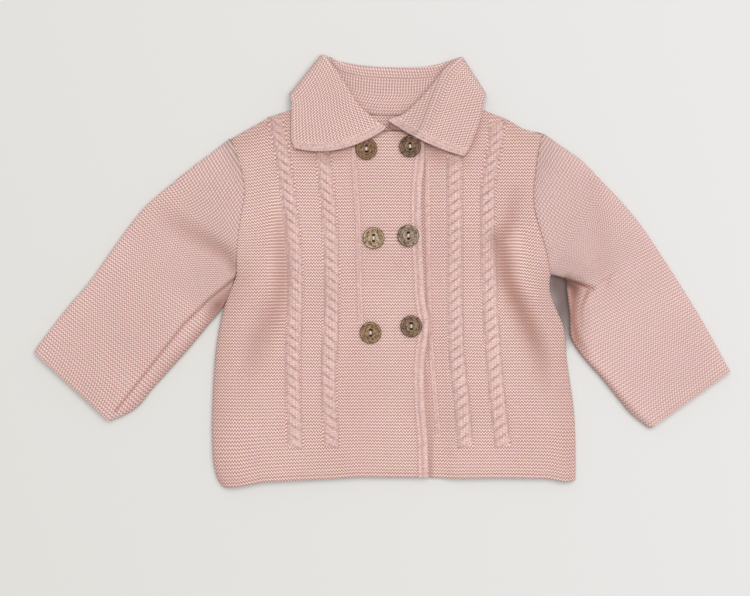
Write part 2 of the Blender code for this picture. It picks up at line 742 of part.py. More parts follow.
def collar():
    """The collar: its middle surface, thickened to both sides."""
    middle = collar_middle(COLLAR_STATIONS)
    normal = np.cross(np.gradient(middle, axis=1), np.gradient(middle, axis=0))
    normal /= np.linalg.norm(normal, axis=-1, keepdims=True)
    half = COLLAR_WALL / 2
    return wall("collar", middle + half * normal, middle - half * normal, CLOTH)


def button_mesh():
    """Half of a button's section, as a line."""
    mesh = bpy.data.meshes.new("button")
    bm = bmesh.new()
    verts = [bm.verts.new((corner.radius * MM, 0, corner.height * MM)) for corner in BUTTON_SECTION]
    for a, b in zip(verts[:-1], verts[1:]):
        bm.edges.new((a, b))
    bm.to_mesh(mesh)
    bm.free()
    mesh.materials.append(HORN)
    return mesh


def button(spec, mesh):
    """A turned button with two holes, one above the other."""
    piece = bpy.data.objects.new(spec.name, mesh)
    COAT.objects.link(piece)
    piece.location = (spec.x * MM, spec.y * MM, (LOFT + spec.lift) * MM)
    screw = piece.modifiers.new("turn", "SCREW")
    screw.steps = screw.render_steps = BUTTON_SIDES
    screw.use_merge_vertices = True
    screw.merge_threshold = 1e-5
    for sign in (-1, 1):
        bpy.ops.mesh.primitive_cylinder_add(
            vertices=HOLE_SIDES,
            radius=HOLE_RADIUS * MM,
            depth=4 * BUTTON_HEIGHT * MM,
            location=(spec.x * MM, (spec.y + sign * HOLE_SPACING / 2) * MM, LOFT * MM),
        )
        cutter = bpy.context.object
        cutter.name = f"cutter_{spec.name}_{'upper' if sign > 0 else 'lower'}"
        cutter.hide_render = True
        cutter.display_type = "WIRE"
        for collection in cutter.users_collection:
            collection.objects.unlink(cutter)
        CUTTERS.objects.link(cutter)
        cut = piece.modifiers.new("hole", "BOOLEAN")
        cut.operation = "DIFFERENCE"
        cut.object = cutter
    return piece


def material(name, colour, roughness, metallic=0.0):
    """A plain Principled material."""
    made = bpy.data.materials.new(name)
    made.use_nodes = True
    shader = made.node_tree.nodes["Principled BSDF"]
    shader.inputs["Base Color"].default_value = (*colour, 1)
    shader.inputs["Roughness"].default_value = roughness
    shader.inputs["Metallic"].default_value = metallic
    return made


for old in list(bpy.data.objects):
    bpy.data.objects.remove(old)
COAT = bpy.data.collections.new("baby_coat")
CUTTERS = bpy.data.collections.new("cutters")
for made in (COAT, CUTTERS):
    bpy.context.scene.collection.children.link(made)
CLOTH = material("knit", (0.70, 0.45, 0.41), 0.9)
HORN = material("button_brown", (0.20, 0.13, 0.08), 0.45, 0.3)

Half = namedtuple(
    "Half", "name mirror side armhole shoulder opening neckline cables rib rib_offsets edging"
)
BODY_CENTRE = Point(10.0, -30.0)
CABLE_OFFSETS = [CABLE_HALF * share for share in (-1, -0.6, 0, 0.6, 1)]
RIB_OFFSETS = [RIB_HALF * share for share in (-1, -0.5, 0, 0.5, 1)]
RIGHT = Half(
    "front_right",
    1,
    smooth(SIDE_RIGHT),
    smooth(ARMHOLE_RIGHT),
    smooth(SHOULDER_RIGHT),
    smooth(FRONT_EDGE),
    smooth(NECKLINE_RIGHT),
    [smooth(CABLE_OUTER_RIGHT), smooth(CABLE_INNER_RIGHT)],
    RIB_RIGHT,
    RIB_OFFSETS,
    True,
)
LEFT = Half(
    "front_left",
    -1,
    smooth(SIDE_LEFT),
    smooth(ARMHOLE_LEFT),
    smooth(SHOULDER_LEFT),
    TUCKED_EDGE,
    smooth(NECKLINE_LEFT),
    [smooth(CABLE_OUTER_LEFT), smooth(CABLE_INNER_LEFT)],
    RIB_LEFT,
    [-offset for offset in reversed(TUCK_RISE[1:])] + RIB_OFFSETS,
    False,
)

back()
front(RIGHT)
front(LEFT)
sleeve(
    "sleeve_right",
    SLEEVE_RIGHT_UPPER,
    beside(RIGHT.armhole, -1),
    SLEEVE_RIGHT_LOWER,
    CREASES_RIGHT,
)
sleeve("sleeve_left", SLEEVE_LEFT_UPPER, beside(LEFT.armhole, 1), SLEEVE_LEFT_LOWER, CREASES_LEFT)
collar()
SECTION = button_mesh()
for spec in BUTTONS:
    button(spec, SECTION)
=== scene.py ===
"""The looks of a double-breasted knitted baby coat, laid flat on its back.

Every knitted piece is a thin shell on the form of its solid, with its garter ridges, cables,
seams and creases in the shape and its stitches in the finish. Sizes and places are in
millimetres, in the frame of the solids, and are turned into metres as a mesh is made. Left
and right are the wearer's, so the right front lies at -X.
"""

from __future__ import annotations

import logging
import math
from dataclasses import dataclass, field
from enum import Enum

import bmesh
import bpy
import numpy as np
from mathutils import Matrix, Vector

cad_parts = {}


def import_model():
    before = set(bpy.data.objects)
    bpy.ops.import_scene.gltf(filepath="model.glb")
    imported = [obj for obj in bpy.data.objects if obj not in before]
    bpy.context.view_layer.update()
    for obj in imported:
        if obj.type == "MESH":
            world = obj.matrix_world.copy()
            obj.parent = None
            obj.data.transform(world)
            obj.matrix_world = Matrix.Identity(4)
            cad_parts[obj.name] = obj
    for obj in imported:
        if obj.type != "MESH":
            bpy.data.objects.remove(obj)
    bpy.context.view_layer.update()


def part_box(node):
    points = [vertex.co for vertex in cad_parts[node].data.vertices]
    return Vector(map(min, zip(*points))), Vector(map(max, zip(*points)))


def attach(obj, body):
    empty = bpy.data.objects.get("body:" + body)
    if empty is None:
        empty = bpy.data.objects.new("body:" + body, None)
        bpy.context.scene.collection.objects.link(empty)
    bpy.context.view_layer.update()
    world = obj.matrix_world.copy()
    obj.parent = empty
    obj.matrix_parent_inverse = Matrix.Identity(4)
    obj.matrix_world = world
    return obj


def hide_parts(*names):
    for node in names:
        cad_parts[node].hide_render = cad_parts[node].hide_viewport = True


LOG = logging.getLogger("baby_coat")
MM = 0.001

TINY = 1e-9  # keeps a division by no length from failing
MERGE = 2e-6  # vertices closer than this become one, in metres
EDGE_SLACK = 0.01  # a place no further inside an outline than this,
EDGE_REACH = 1.0  # and no further off than this, counts as on its edge
WAVES = 7  # how many waves make up an unevenness
LONGEST_WAVE = 2.4  # the longest of them, as a multiple of the shortest
SPOT_END = 1.35  # where a spot has faded out, in half sizes
SPOT_FADE = 0.7  # over how much it fades, in half sizes

Array = np.ndarray
Colour = tuple[float, float, float]


class Layer(Enum):
    """A layer of cloth in a flattened garment, by the way its outer face looks."""

    UPPER = 1
    LOWER = -1


class Metal(Enum):
    """How a button's coating has aged."""

    WARM = "warm"
    COOL = "cool"


# ---------------------------------------------------------------------------------------
# Lines, curves and folds


def ease(t: Array | float) -> Array:
    """0 to 1 with no slope at either end."""
    t = np.clip(t, 0, 1)
    return t * t * (3 - 2 * t)


def bell(distance: Array, width: float) -> Array:
    """1 at no distance, fading over about a width."""
    return np.exp(-((distance / width) ** 2))


def smooth_through(rows: Array, keys: Array, at: Array) -> Array:
    """Rows read from a smooth curve through a table.

    Args:
        rows: The table, a row for each key.
        keys: Where the rows stand, rising.
        at: Where to read the curve.

    Returns:
        One row for each place in at.
    """
    rows = np.array(rows, float)
    slopes = np.gradient(rows, keys, axis=0)
    first = np.clip(np.searchsorted(keys, at, side="right") - 1, 0, len(keys) - 2)
    span = (keys[first + 1] - keys[first])[:, None]
    t = (at - keys[first])[:, None] / span
    start = (2 * t**3 - 3 * t**2 + 1) * rows[first] + (t**3 - 2 * t**2 + t) * span * slopes[first]
    return start + (3 * t**2 - 2 * t**3) * rows[first + 1] + (t**3 - t**2) * span * slopes[first + 1]


def lengths(points: Array) -> Array:
    """Distance of each point of a line from its start."""
    return np.insert(np.cumsum(np.hypot(*np.diff(points, axis=0).T)), 0, 0)


def line(*points: tuple[float, float], step: float = 4.0) -> Array:
    """A rounded line through these places.

    Args:
        points: The places, in millimetres.
        step: About how far apart the points of the new line are.

    Returns:
        Its points, one a row.
    """
    rows = np.array(points, float)
    keys = lengths(rows)
    return smooth_through(rows, keys, np.linspace(0, keys[-1], round(keys[-1] / step) + 2))


def x_at(points: Array, y: Array) -> Array:
    """x of a line that climbs towards +Y."""
    return np.interp(y, points[:, 1], points[:, 0])


def height_at(points: Array, x: Array) -> Array:
    """y of a line that runs towards +X."""
    return np.interp(x, points[:, 0], points[:, 1])


def along(points: Array, distance: Array) -> Array:
    """Places at these distances from a line's start."""
    length = lengths(points)
    return np.stack([np.interp(distance, length, column) for column in points.T], axis=-1)


def averaged(values: Array, reach: int, **ends: str) -> Array:
    """Evenly spaced values, each averaged with its neighbours.

    Args:
        values: The values.
        reach: How many neighbours count on each side.
        ends: How np.pad carries the values on past their ends.

    Returns:
        As many values, smoother.
    """
    window = 2 * reach + 1
    return np.convolve(np.pad(values, reach, **ends), np.full(window, 1 / window), mode="valid")


def from_folds(
    x: Array, y: Array, folds: list[Array], inside: Array | None = None
) -> tuple[Array, Array]:
    """How far places are from some folded edges.

    Args:
        x: x of the places.
        y: y of the places.
        folds: The edges, each a line.
        inside: A place inside the outline. With it, places on an edge look inwards.

    Returns:
        The distance to the nearest edge, and the direction away from it.
    """
    best = np.full(np.shape(x), np.inf)
    away = np.zeros((*np.shape(x), 2))
    for fold in folds:
        for (ax, ay), (bx, by) in zip(fold[:-1], fold[1:]):
            dx, dy = bx - ax, by - ay
            share = np.clip(((x - ax) * dx + (y - ay) * dy) / (dx * dx + dy * dy), 0, 1)
            offset = np.stack([x - ax - share * dx, y - ay - share * dy], axis=-1)
            distance = np.linalg.norm(offset, axis=-1)
            if inside is not None:
                inwards = np.array([-dy, dx]) / math.hypot(dx, dy)
                inwards *= math.copysign(1, inwards @ (inside - (ax, ay)))
                on_edge = (offset @ inwards < EDGE_SLACK) & (distance < EDGE_REACH)
                distance = np.where(on_edge, 0, distance)
                offset = np.where(on_edge[..., None], inwards, offset)
            nearer = distance < best
            best = np.where(nearer, distance, best)
            scale = np.maximum(np.linalg.norm(offset, axis=-1, keepdims=True), TINY)
            away[nearer] = (offset / scale)[nearer]
    return best, away


def wander(x: Array, y: Array, wavelength: float, seed: int) -> Array:
    """Soft unevenness of hand-laid cloth, about -1 to 1.

    Args:
        x: x of the places.
        y: y of the places.
        wavelength: The shortest wave.
        seed: Which unevenness.

    Returns:
        Its height at each place.
    """
    dice = np.random.default_rng(seed)
    total = np.zeros(np.shape(x))
    for _ in range(WAVES):
        wave = math.tau / (wavelength * dice.uniform(1.0, LONGEST_WAVE))
        heading, phase = dice.uniform(0, math.tau, 2)
        total += np.sin(wave * (x * math.cos(heading) + y * math.sin(heading)) + phase)
    return total / (WAVES / 2)


def as_object(name: str, bm: bmesh.types.BMesh) -> bpy.types.Object:
    """Makes a bmesh an object in the scene, and frees it."""
    mesh = bpy.data.meshes.new(name)
    bm.to_mesh(mesh)
    bm.free()
    piece = bpy.data.objects.new(name, mesh)
    bpy.context.scene.collection.objects.link(piece)
    return piece


class Crease:
    """A soft trough in the cloth, or a swelling where its depth is negative, with shade painted along
    it.
    """

    def __init__(self, *rows: tuple[float, float, float, float, float]) -> None:
        """Keeps the crease's points.

        Args:
            rows: x, y, half width, depth and painted shade at each. On a sleeve the depth is a
                share of the room between its two layers.
        """
        self.rows = np.array(rows, float)

    def at(self, x: Array, y: Array) -> tuple[Array, Array]:
        """Its depth and its painted shade at places on the cloth."""
        depth, shade = np.zeros(x.shape), np.zeros(x.shape)
        best = np.full(x.shape, np.inf)
        for start, end in zip(self.rows[:-1], self.rows[1:]):
            run = end - start
            share = ((x - start[0]) * run[0] + (y - start[1]) * run[1]) / (run[0] ** 2 + run[1] ** 2)
            here = start + np.clip(share, 0, 1)[..., None] * run
            reach = np.hypot(x - here[..., 0], y - here[..., 1]) / here[..., 2]
            nearer = reach < best
            best = np.where(nearer, reach, best)
            depth = np.where(nearer, bell(reach, 1) * here[..., 3], depth)
            shade = np.where(nearer, bell(reach, 1) * here[..., 4], shade)
        return depth, shade


def pressed(x: Array, y: Array, creases: list[Crease]) -> tuple[Array, Array]:
    """What creases do to places on the cloth.

    Args:
        x: x of the places.
        y: y of the places.
        creases: The creases.

    Returns:
        Their depth and painted shade at each place, of whichever crease is the stronger.
    """
    depth, shade = np.zeros(x.shape), np.zeros(x.shape)
    for crease in creases:
        deeper, darker = crease.at(x, y)
        depth = np.where(np.abs(deeper) > np.abs(depth), deeper, depth)
        shade = np.maximum(shade, darker)
    return depth, shade


@dataclass
class Spot:
    """A soft oval place on the cloth."""

    x: float
    y: float
    half_x: float
    half_y: float
    amount: float = 1.0

    def at(self, x: Array, y: Array) -> Array:
        """How much of it there is at a place."""
        reach = np.hypot((x - self.x) / self.half_x, (y - self.y) / self.half_y)
        return self.amount * ease((SPOT_END - reach) / SPOT_FADE)


# ---------------------------------------------------------------------------------------
# The knitted cloth


@dataclass(frozen=True)
class Knit:
    """Sizes of the cloth that all pieces share."""

    wall: float = 2.4
    gap: float = 0.3
    loft: float = 8.3  # height of the upper face over two layers
    fold_run: float = 6.0  # distance from a folded edge to full height
    ridge: float = 2.7  # from one garter ridge to the next
    rows_per_ridge: int = 4
    relief: float = 0.16  # of the garter ridges, half of their height
    edge_run: float = 1.5  # how far an open edge rounds off
    edge_share: float = 0.3  # thickness at an open edge, as a share of the wall
    seam_sink: float = 0.9  # how far the cloth sinks along an armhole's seam
    seam_half: float = 2.2  # half width of that dip
    seam_line: float = 1.0  # half width of the painted shade line in it
    cast_on: float = 3.4  # distance of the first furrow from the hem and from the cuffs
    cast_on_half: float = 0.8
    row_stray: float = 0.35  # how far the body's rows stray from straight
    row_wave: float = 55.0
    row_seed: int = 11
    steps: tuple[float, ...] = (0.0, 0.35, 0.9, 1.8, 3.0, 4.4, 6.0)  # columns beside a fold

    @property
    def middle(self) -> float:
        """Height of a folded edge."""
        return self.loft / 2

    @property
    def row(self) -> float:
        """Distance between two rows of points."""
        return self.ridge / self.rows_per_ridge

    def rise(self, distance: Array) -> Array:
        """Height over a folded edge as a share of the whole, at a distance from it."""
        return np.sqrt(1 - np.clip(1 - distance / self.fold_run, 0, 1) ** 2)

    def normal(self, distance: Array, away: Array, face: Array | int) -> Array:
        """Unit normals of cloth that is rounded down to its folds.

        Args:
            distance: Distance to the nearest fold.
            away: Direction away from it.
            face: 1 for an upper layer and -1 for a lower one.

        Returns:
            The normals, outwards.
        """
        flat = np.clip(1 - distance / self.fold_run, 0, 1) / self.fold_run
        steep = face * self.rise(distance) / self.middle
        normal = np.stack([-flat * away[..., 0], -flat * away[..., 1], steep], axis=-1)
        return normal / np.maximum(np.linalg.norm(normal, axis=-1, keepdims=True), TINY)

    def phase(self, x: Array, y: Array) -> Array:
        """Place across the ridges of the body, whose rows stray a little from straight."""
        return y + self.row_stray * wander(x, y, self.row_wave, self.row_seed)

    def ridges(self, place: Array) -> Array:
        """Height of the garter ridges at a place across them, -1 to 1."""
        return np.cos(math.tau * place / self.ridge)


KNIT = Knit()


@dataclass
class Shell:
    """A knitted wall: two grids of points, a row for each quarter of a ridge."""

    name: str
    outer: Array  # places of the outer face, in millimetres
    inner: Array
    stitch: Array  # place along a ridge, and across the ridges
    plain: Array  # 1 where stocking stitch stands in for garter stitch, as on a cable
    painted_shade: Array  # painted shade: 1 in a furrow, where yarn shades yarn, 2 in a tight fold, 3 where no light comes
    sway: Array  # how far the yarn zigzags along its ridge, less where it is pulled straight
    open_edge: Array  # distance to an open edge
    soft: float = 0.0  # how far the fluffed yarn hides its ridges

    def rounded(self) -> tuple[Array, Array]:
        """The two faces, drawn together at the open edges."""
        rise = np.sqrt(1 - np.clip(1 - self.open_edge / KNIT.edge_run, 0, 1) ** 2)
        thick = KNIT.edge_share + (1 - KNIT.edge_share) * rise
        thick = np.broadcast_to(thick, self.outer.shape[:2])[..., None]
        middle = (self.outer + self.inner) / 2
        half = (self.outer - self.inner) / 2
        return middle + half * thick, middle - half * thick

    def area(self) -> float:
        """Area of the inner face in square metres, which has no relief."""
        first = self.inner[1:, 1:] - self.inner[:-1, :-1]
        second = self.inner[1:, :-1] - self.inner[:-1, 1:]
        return float(np.linalg.norm(np.cross(first, second), axis=-1).sum()) / 2 * MM * MM

    def build(self) -> bpy.types.Object:
        """The wall as an object.

        Returns:
            The object, with its stitch map and the attributes that its finish reads.
        """
        rows, columns = self.outer.shape[:2]
        bm = bmesh.new()
        bmesh.ops.create_grid(bm, x_segments=columns - 1, y_segments=rows - 1, size=0.5)
        place = bm.verts.layers.int.new("place")
        for vert in bm.verts:
            row = round((vert.co.y + 0.5) * (rows - 1))
            column = round((vert.co.x + 0.5) * (columns - 1))
            vert[place] = row * columns + column
        made = bmesh.ops.extrude_face_region(bm, geom=bm.faces[:])
        for vert in made["geom"]:
            if isinstance(vert, bmesh.types.BMVert):
                vert[place] += rows * columns
        mesh = bpy.data.meshes.new(self.name)
        bm.to_mesh(mesh)
        bm.free()
        self._lay(mesh)
        bm = bmesh.new()
        bm.from_mesh(mesh)
        bmesh.ops.remove_doubles(bm, verts=bm.verts, dist=MERGE)
        bmesh.ops.recalc_face_normals(bm, faces=bm.faces)
        bm.to_mesh(mesh)
        bm.free()
        mesh.shade_smooth()
        piece = bpy.data.objects.new(self.name, mesh)
        bpy.context.scene.collection.objects.link(piece)
        return piece

    def _lay(self, mesh: bpy.types.Mesh) -> None:
        """Moves a mesh's vertices to their places and writes its stitch map.

        Args:
            mesh: A grid and its copy, whose vertices know their place in the arrays.
        """
        order = np.empty(len(mesh.vertices), np.int32)
        mesh.attributes["place"].data.foreach_get("value", order)
        points = np.concatenate([face.reshape(-1, 3) for face in self.rounded()]) * MM
        mesh.vertices.foreach_set("co", points[order].ravel())
        count = self.outer.shape[0] * self.outer.shape[1]
        corners = np.empty(len(mesh.loops), np.int32)
        mesh.loops.foreach_get("vertex_index", corners)
        stitches = self.stitch.reshape(-1, 2) * MM
        stitch_map = mesh.uv_layers.new(name="stitch")
        stitch_map.data.foreach_set("uv", stitches[order[corners] % count].ravel())
        for name in ("plain", "painted_shade", "sway", "soft"):
            values = np.broadcast_to(getattr(self, name), self.outer.shape[:2]).astype(np.float32)
            made = mesh.attributes.new(name, "FLOAT", "POINT")
            made.data.foreach_set("value", values.ravel()[order % count])
        mesh.attributes.remove(mesh.attributes["place"])


# ---------------------------------------------------------------------------------------
# Finishes


@dataclass(frozen=True)
class Grain:
    """A noise in a finish."""

    scale: float  # how many lumps there are to a metre
    detail: float = 2.0  # how many finer layers it has
    roughness: float = 0.5  # how strong they are


@dataclass(frozen=True)
class Ramp:
    """A number that rises or falls evenly with another."""

    slope: float
    start: float


class Bench:
    """Adds nodes to one material."""

    NUMBERS = (2, 3)  # a Mix node's two inputs for numbers, and its output for them
    NUMBER_OUT = 0
    COLOURS = (6, 7)  # the same for colours
    COLOUR_OUT = 2

    def __init__(self, name: str) -> None:
        """Starts a material.

        Args:
            name: The material's name.
        """
        self.material = bpy.data.materials.new(name)
        self.material.use_nodes = True
        self.tree = self.material.node_tree
        self.shader = self.tree.nodes["Principled BSDF"]

    def put(self, socket: bpy.types.NodeSocket, value: object) -> None:
        """Links a socket to another, or sets its value."""
        if isinstance(value, bpy.types.NodeSocket):
            self.tree.links.new(value, socket)
        else:
            socket.default_value = value

    def math(self, operation: str, *values: object) -> bpy.types.NodeSocket:
        """A Math node's result.

        Args:
            operation: Blender's name of the operation.
            values: What goes in, sockets or numbers.

        Returns:
            The socket that holds the result.
        """
        node = self.tree.nodes.new("ShaderNodeMath")
        node.operation = operation
        for socket, value in zip(node.inputs, values):
            self.put(socket, value)
        return node.outputs[0]

    def wave(self, place: object) -> bpy.types.NodeSocket:
        """0 to 1 and back as a place goes from one whole number to the next."""
        turned = self.math("COSINE", self.math("MULTIPLY", place, math.tau))
        return self.math("MULTIPLY_ADD", turned, -0.5, 0.5)

    def ramp(self, value: object, ramp: Ramp) -> bpy.types.NodeSocket:
        """A number that rises or falls evenly with a value."""
        return self.math("MULTIPLY_ADD", value, ramp.slope, ramp.start)

    def mix(self, share: object, low: object, high: object) -> bpy.types.NodeSocket:
        """A colour between two, each a socket or red, green and blue."""
        node = self.tree.nodes.new("ShaderNodeMix")
        node.data_type = "RGBA"
        self.put(node.inputs["Factor"], share)
        for index, colour in zip(self.COLOURS, (low, high)):
            self.put(node.inputs[index], (*colour, 1) if isinstance(colour, tuple) else colour)
        return node.outputs[self.COLOUR_OUT]

    def blend(self, share: object, low: object, high: object) -> bpy.types.NodeSocket:
        """A number between two."""
        node = self.tree.nodes.new("ShaderNodeMix")
        self.put(node.inputs["Factor"], share)
        for index, number in zip(self.NUMBERS, (low, high)):
            self.put(node.inputs[index], number)
        return node.outputs[self.NUMBER_OUT]

    def noise(self, grain: Grain) -> bpy.types.NodeSocket:
        """Noise on the piece's own coordinates, 0 to 1."""
        place = self.tree.nodes.new("ShaderNodeTexCoord")
        node = self.tree.nodes.new("ShaderNodeTexNoise")
        self.put(node.inputs["Vector"], place.outputs["Object"])
        self.put(node.inputs["Scale"], grain.scale)
        self.put(node.inputs["Detail"], grain.detail)
        self.put(node.inputs["Roughness"], grain.roughness)
        return node.outputs["Fac"]

    def centred(self, grain: Grain) -> bpy.types.NodeSocket:
        """Noise on the piece's own coordinates, -0.5 to 0.5."""
        return self.math("SUBTRACT", self.noise(grain), 0.5)

    def attribute(self, name: str) -> bpy.types.NodeSocket:
        """A number that the mesh holds at each vertex."""
        node = self.tree.nodes.new("ShaderNodeAttribute")
        node.attribute_name = name
        return node.outputs["Fac"]

    def bump(self, height: object, distance: float, strength: float = 1.0) -> None:
        """Raises the surface by a height from 0 to 1.

        Args:
            height: The socket that holds the height.
            distance: How far 1 stands out, in metres.
            strength: How much of it shows.
        """
        node = self.tree.nodes.new("ShaderNodeBump")
        self.put(node.inputs["Height"], height)
        self.put(node.inputs["Distance"], distance)
        self.put(node.inputs["Strength"], strength)
        self.put(self.shader.inputs["Normal"], node.outputs["Normal"])


@dataclass(frozen=True)
class YarnFinish:
    """Soft pink cotton yarn in garter stitch, with stocking stitch on the cables."""

    name: str = "pink_yarn"
    # The yarn's tone runs from painted shade in the grooves between its loops up to its crest colour
    groove_shade: Colour = (0.35, 0.145, 0.125)
    crest: Colour = (1.0, 0.735, 0.69)
    warm_crest: Colour = (0.98, 0.765, 0.64)
    rope_crest: Colour = (0.99, 0.70, 0.645)
    faded: Colour = (0.71, 0.49, 0.47)
    # Painted shade where the painted shade attribute is 1, 2 and 3
    crevice_shade: Colour = (0.41, 0.21, 0.17)
    deepest_shade: Colour = (0.13, 0.045, 0.035)
    unlit: Colour = (0.02, 0.01, 0.008)
    stitch_width: float = 2.35
    zigzag: float = 0.29  # of the yarn up and down a ridge, as a share of its pitch
    stray: Grain = Grain(300.0, 1.0)  # how the yarn strays from its zigzag
    stray_reach: float = 0.2
    loop: Ramp = Ramp(0.3, 0.7)  # height along a line of yarn, which dips between its loops
    chain_pitch: float = 2.1
    chain_slant: float = 1.4  # of an arrowhead's arms
    loop_depth: float = 0.5
    fibre: Grain = Grain(1300.0, 3.0, 0.7)
    fibre_height: float = 0.25
    fibre_tone: float = 1.0
    strand: Grain = Grain(480.0, 2.0, 0.6)
    strand_tone: float = 1.3  # on the cables
    chain_tone: Ramp = Ramp(0.35, 0.56)
    garter_middle: float = 0.43  # height that has the middle tone
    garter_tone: Ramp = Ramp(0.85, 0.62)  # contrast of the painted shade between the loops, by how far the yarn zigzags
    cloud: Grain = Grain(14.0)
    cloud_tone: float = 0.3
    tint: Grain = Grain(95.0)
    warmth: Ramp = Ramp(3.2, -1.2)  # of the crests, by their tint
    wear: Grain = Grain(38.0, 3.0)
    wear_share: float = 0.25
    hollow_shade: Ramp = Ramp(-0.7, 1.3)  # how much painted shade a furrow gets, less on the yarn's crests
    roughness: float = 0.92
    sheen: float = 0.28
    sheen_roughness: float = 0.5
    specular: float = 0.2

    def garter(self, bench: Bench, across: object, along_rows: object) -> bpy.types.NodeSocket:
        """Height of garter stitch: zigzag lines of yarn, one a ridge.

        Args:
            bench: The material's nodes.
            across: Place along the ridge, in stitches.
            along_rows: Place across the ridges, in metres.

        Returns:
            The height, 0 to 1.
        """
        ridge = bench.math("DIVIDE", along_rows, KNIT.ridge * MM)
        turned = bench.math("SINE", bench.math("MULTIPLY", across, math.tau))
        reach = bench.math("MULTIPLY", bench.attribute("sway"), self.zigzag)
        sway = bench.math("MULTIPLY", turned, reach)
        sway = bench.math("MULTIPLY_ADD", bench.noise(self.stray), self.stray_reach, sway)
        crests = bench.math("SUBTRACT", 1.0, bench.wave(bench.math("ADD", ridge, sway)))
        loops = bench.wave(bench.math("MULTIPLY", across, 2.0))
        return bench.math("MULTIPLY", crests, bench.ramp(loops, self.loop))

    def chain(self, bench: Bench, across: object, along_rows: object) -> bpy.types.NodeSocket:
        """Height of stocking stitch: columns of arrowheads.

        Args:
            bench: The material's nodes.
            across: Place across the columns, in stitches.
            along_rows: Place along the columns, in metres.

        Returns:
            The height, 0 to 1.
        """
        place = bench.math("DIVIDE", along_rows, self.chain_pitch * MM)
        arms = bench.math("PINGPONG", across, 0.5)
        return bench.wave(bench.math("ADD", place, bench.math("MULTIPLY", arms, self.chain_slant)))

    def colour(
        self, bench: Bench, plain: object, garter: object, tone: object
    ) -> bpy.types.NodeSocket:
        """Colour of the yarn, which is faded in places, with painted shade in folds and furrows.

        Args:
            bench: The material's nodes.
            plain: 1 on a cable and 0 on garter stitch.
            garter: Height of the garter stitch.
            tone: How light the yarn is, with painted shade between its loops.

        Returns:
            The colour.
        """
        crest = bench.mix(bench.ramp(bench.noise(self.tint), self.warmth), self.crest, self.warm_crest)
        crest = bench.mix(plain, crest, self.rope_crest)
        colour = bench.mix(tone, self.groove_shade, crest)
        wear, soft = bench.noise(self.wear), bench.attribute("soft")
        worn = bench.math("MULTIPLY_ADD", wear, self.wear_share, soft)
        colour = bench.mix(worn, colour, self.faded)
        painted_shade = bench.attribute("painted_shade")
        hollow_shade = bench.math("MULTIPLY", painted_shade, bench.ramp(garter, self.hollow_shade))
        colour = bench.mix(hollow_shade, colour, self.crevice_shade)
        colour = bench.mix(bench.math("SUBTRACT", painted_shade, 1.0), colour, self.deepest_shade)
        return bench.mix(bench.math("SUBTRACT", painted_shade, 2.0), colour, self.unlit)

    def material(self) -> bpy.types.Material:
        """The finish as a material that follows a piece's stitch map."""
        bench = Bench(self.name)
        stitch_map = bench.tree.nodes.new("ShaderNodeUVMap")
        stitch_map.uv_map = "stitch"
        split = bench.tree.nodes.new("ShaderNodeSeparateXYZ")
        bench.put(split.inputs[0], stitch_map.outputs[0])
        across = bench.math("DIVIDE", split.outputs["X"], self.stitch_width * MM)
        garter = self.garter(bench, across, split.outputs["Y"])
        chain = self.chain(bench, across, split.outputs["Y"])
        plain = bench.attribute("plain")
        fibre = bench.centred(self.fibre)
        stitches = bench.blend(plain, garter, chain)
        height = bench.math("MULTIPLY_ADD", fibre, self.fibre_height, stitches)
        # The tone paints shade between the ridges' loops and between the cables' arrowheads.
        rope = bench.ramp(chain, self.chain_tone)
        rope = bench.math("MULTIPLY_ADD", bench.centred(self.strand), self.strand_tone, rope)
        contrast = bench.ramp(bench.attribute("sway"), self.garter_tone)
        above = bench.math("SUBTRACT", garter, self.garter_middle)
        cloth = bench.math("MULTIPLY_ADD", above, contrast, 0.5)
        tone = bench.math("MULTIPLY_ADD", fibre, self.fibre_tone, bench.blend(plain, cloth, rope))
        tone = bench.math("MULTIPLY_ADD", bench.centred(self.cloud), self.cloud_tone, tone)
        bench.put(bench.shader.inputs["Base Color"], self.colour(bench, plain, garter, tone))
        bench.put(bench.shader.inputs["Roughness"], self.roughness)
        bench.put(bench.shader.inputs["Sheen Weight"], self.sheen)
        bench.put(bench.shader.inputs["Sheen Roughness"], self.sheen_roughness)
        bench.put(bench.shader.inputs["Specular IOR Level"], self.specular)
        bench.bump(height, self.loop_depth * MM)
        return bench.material


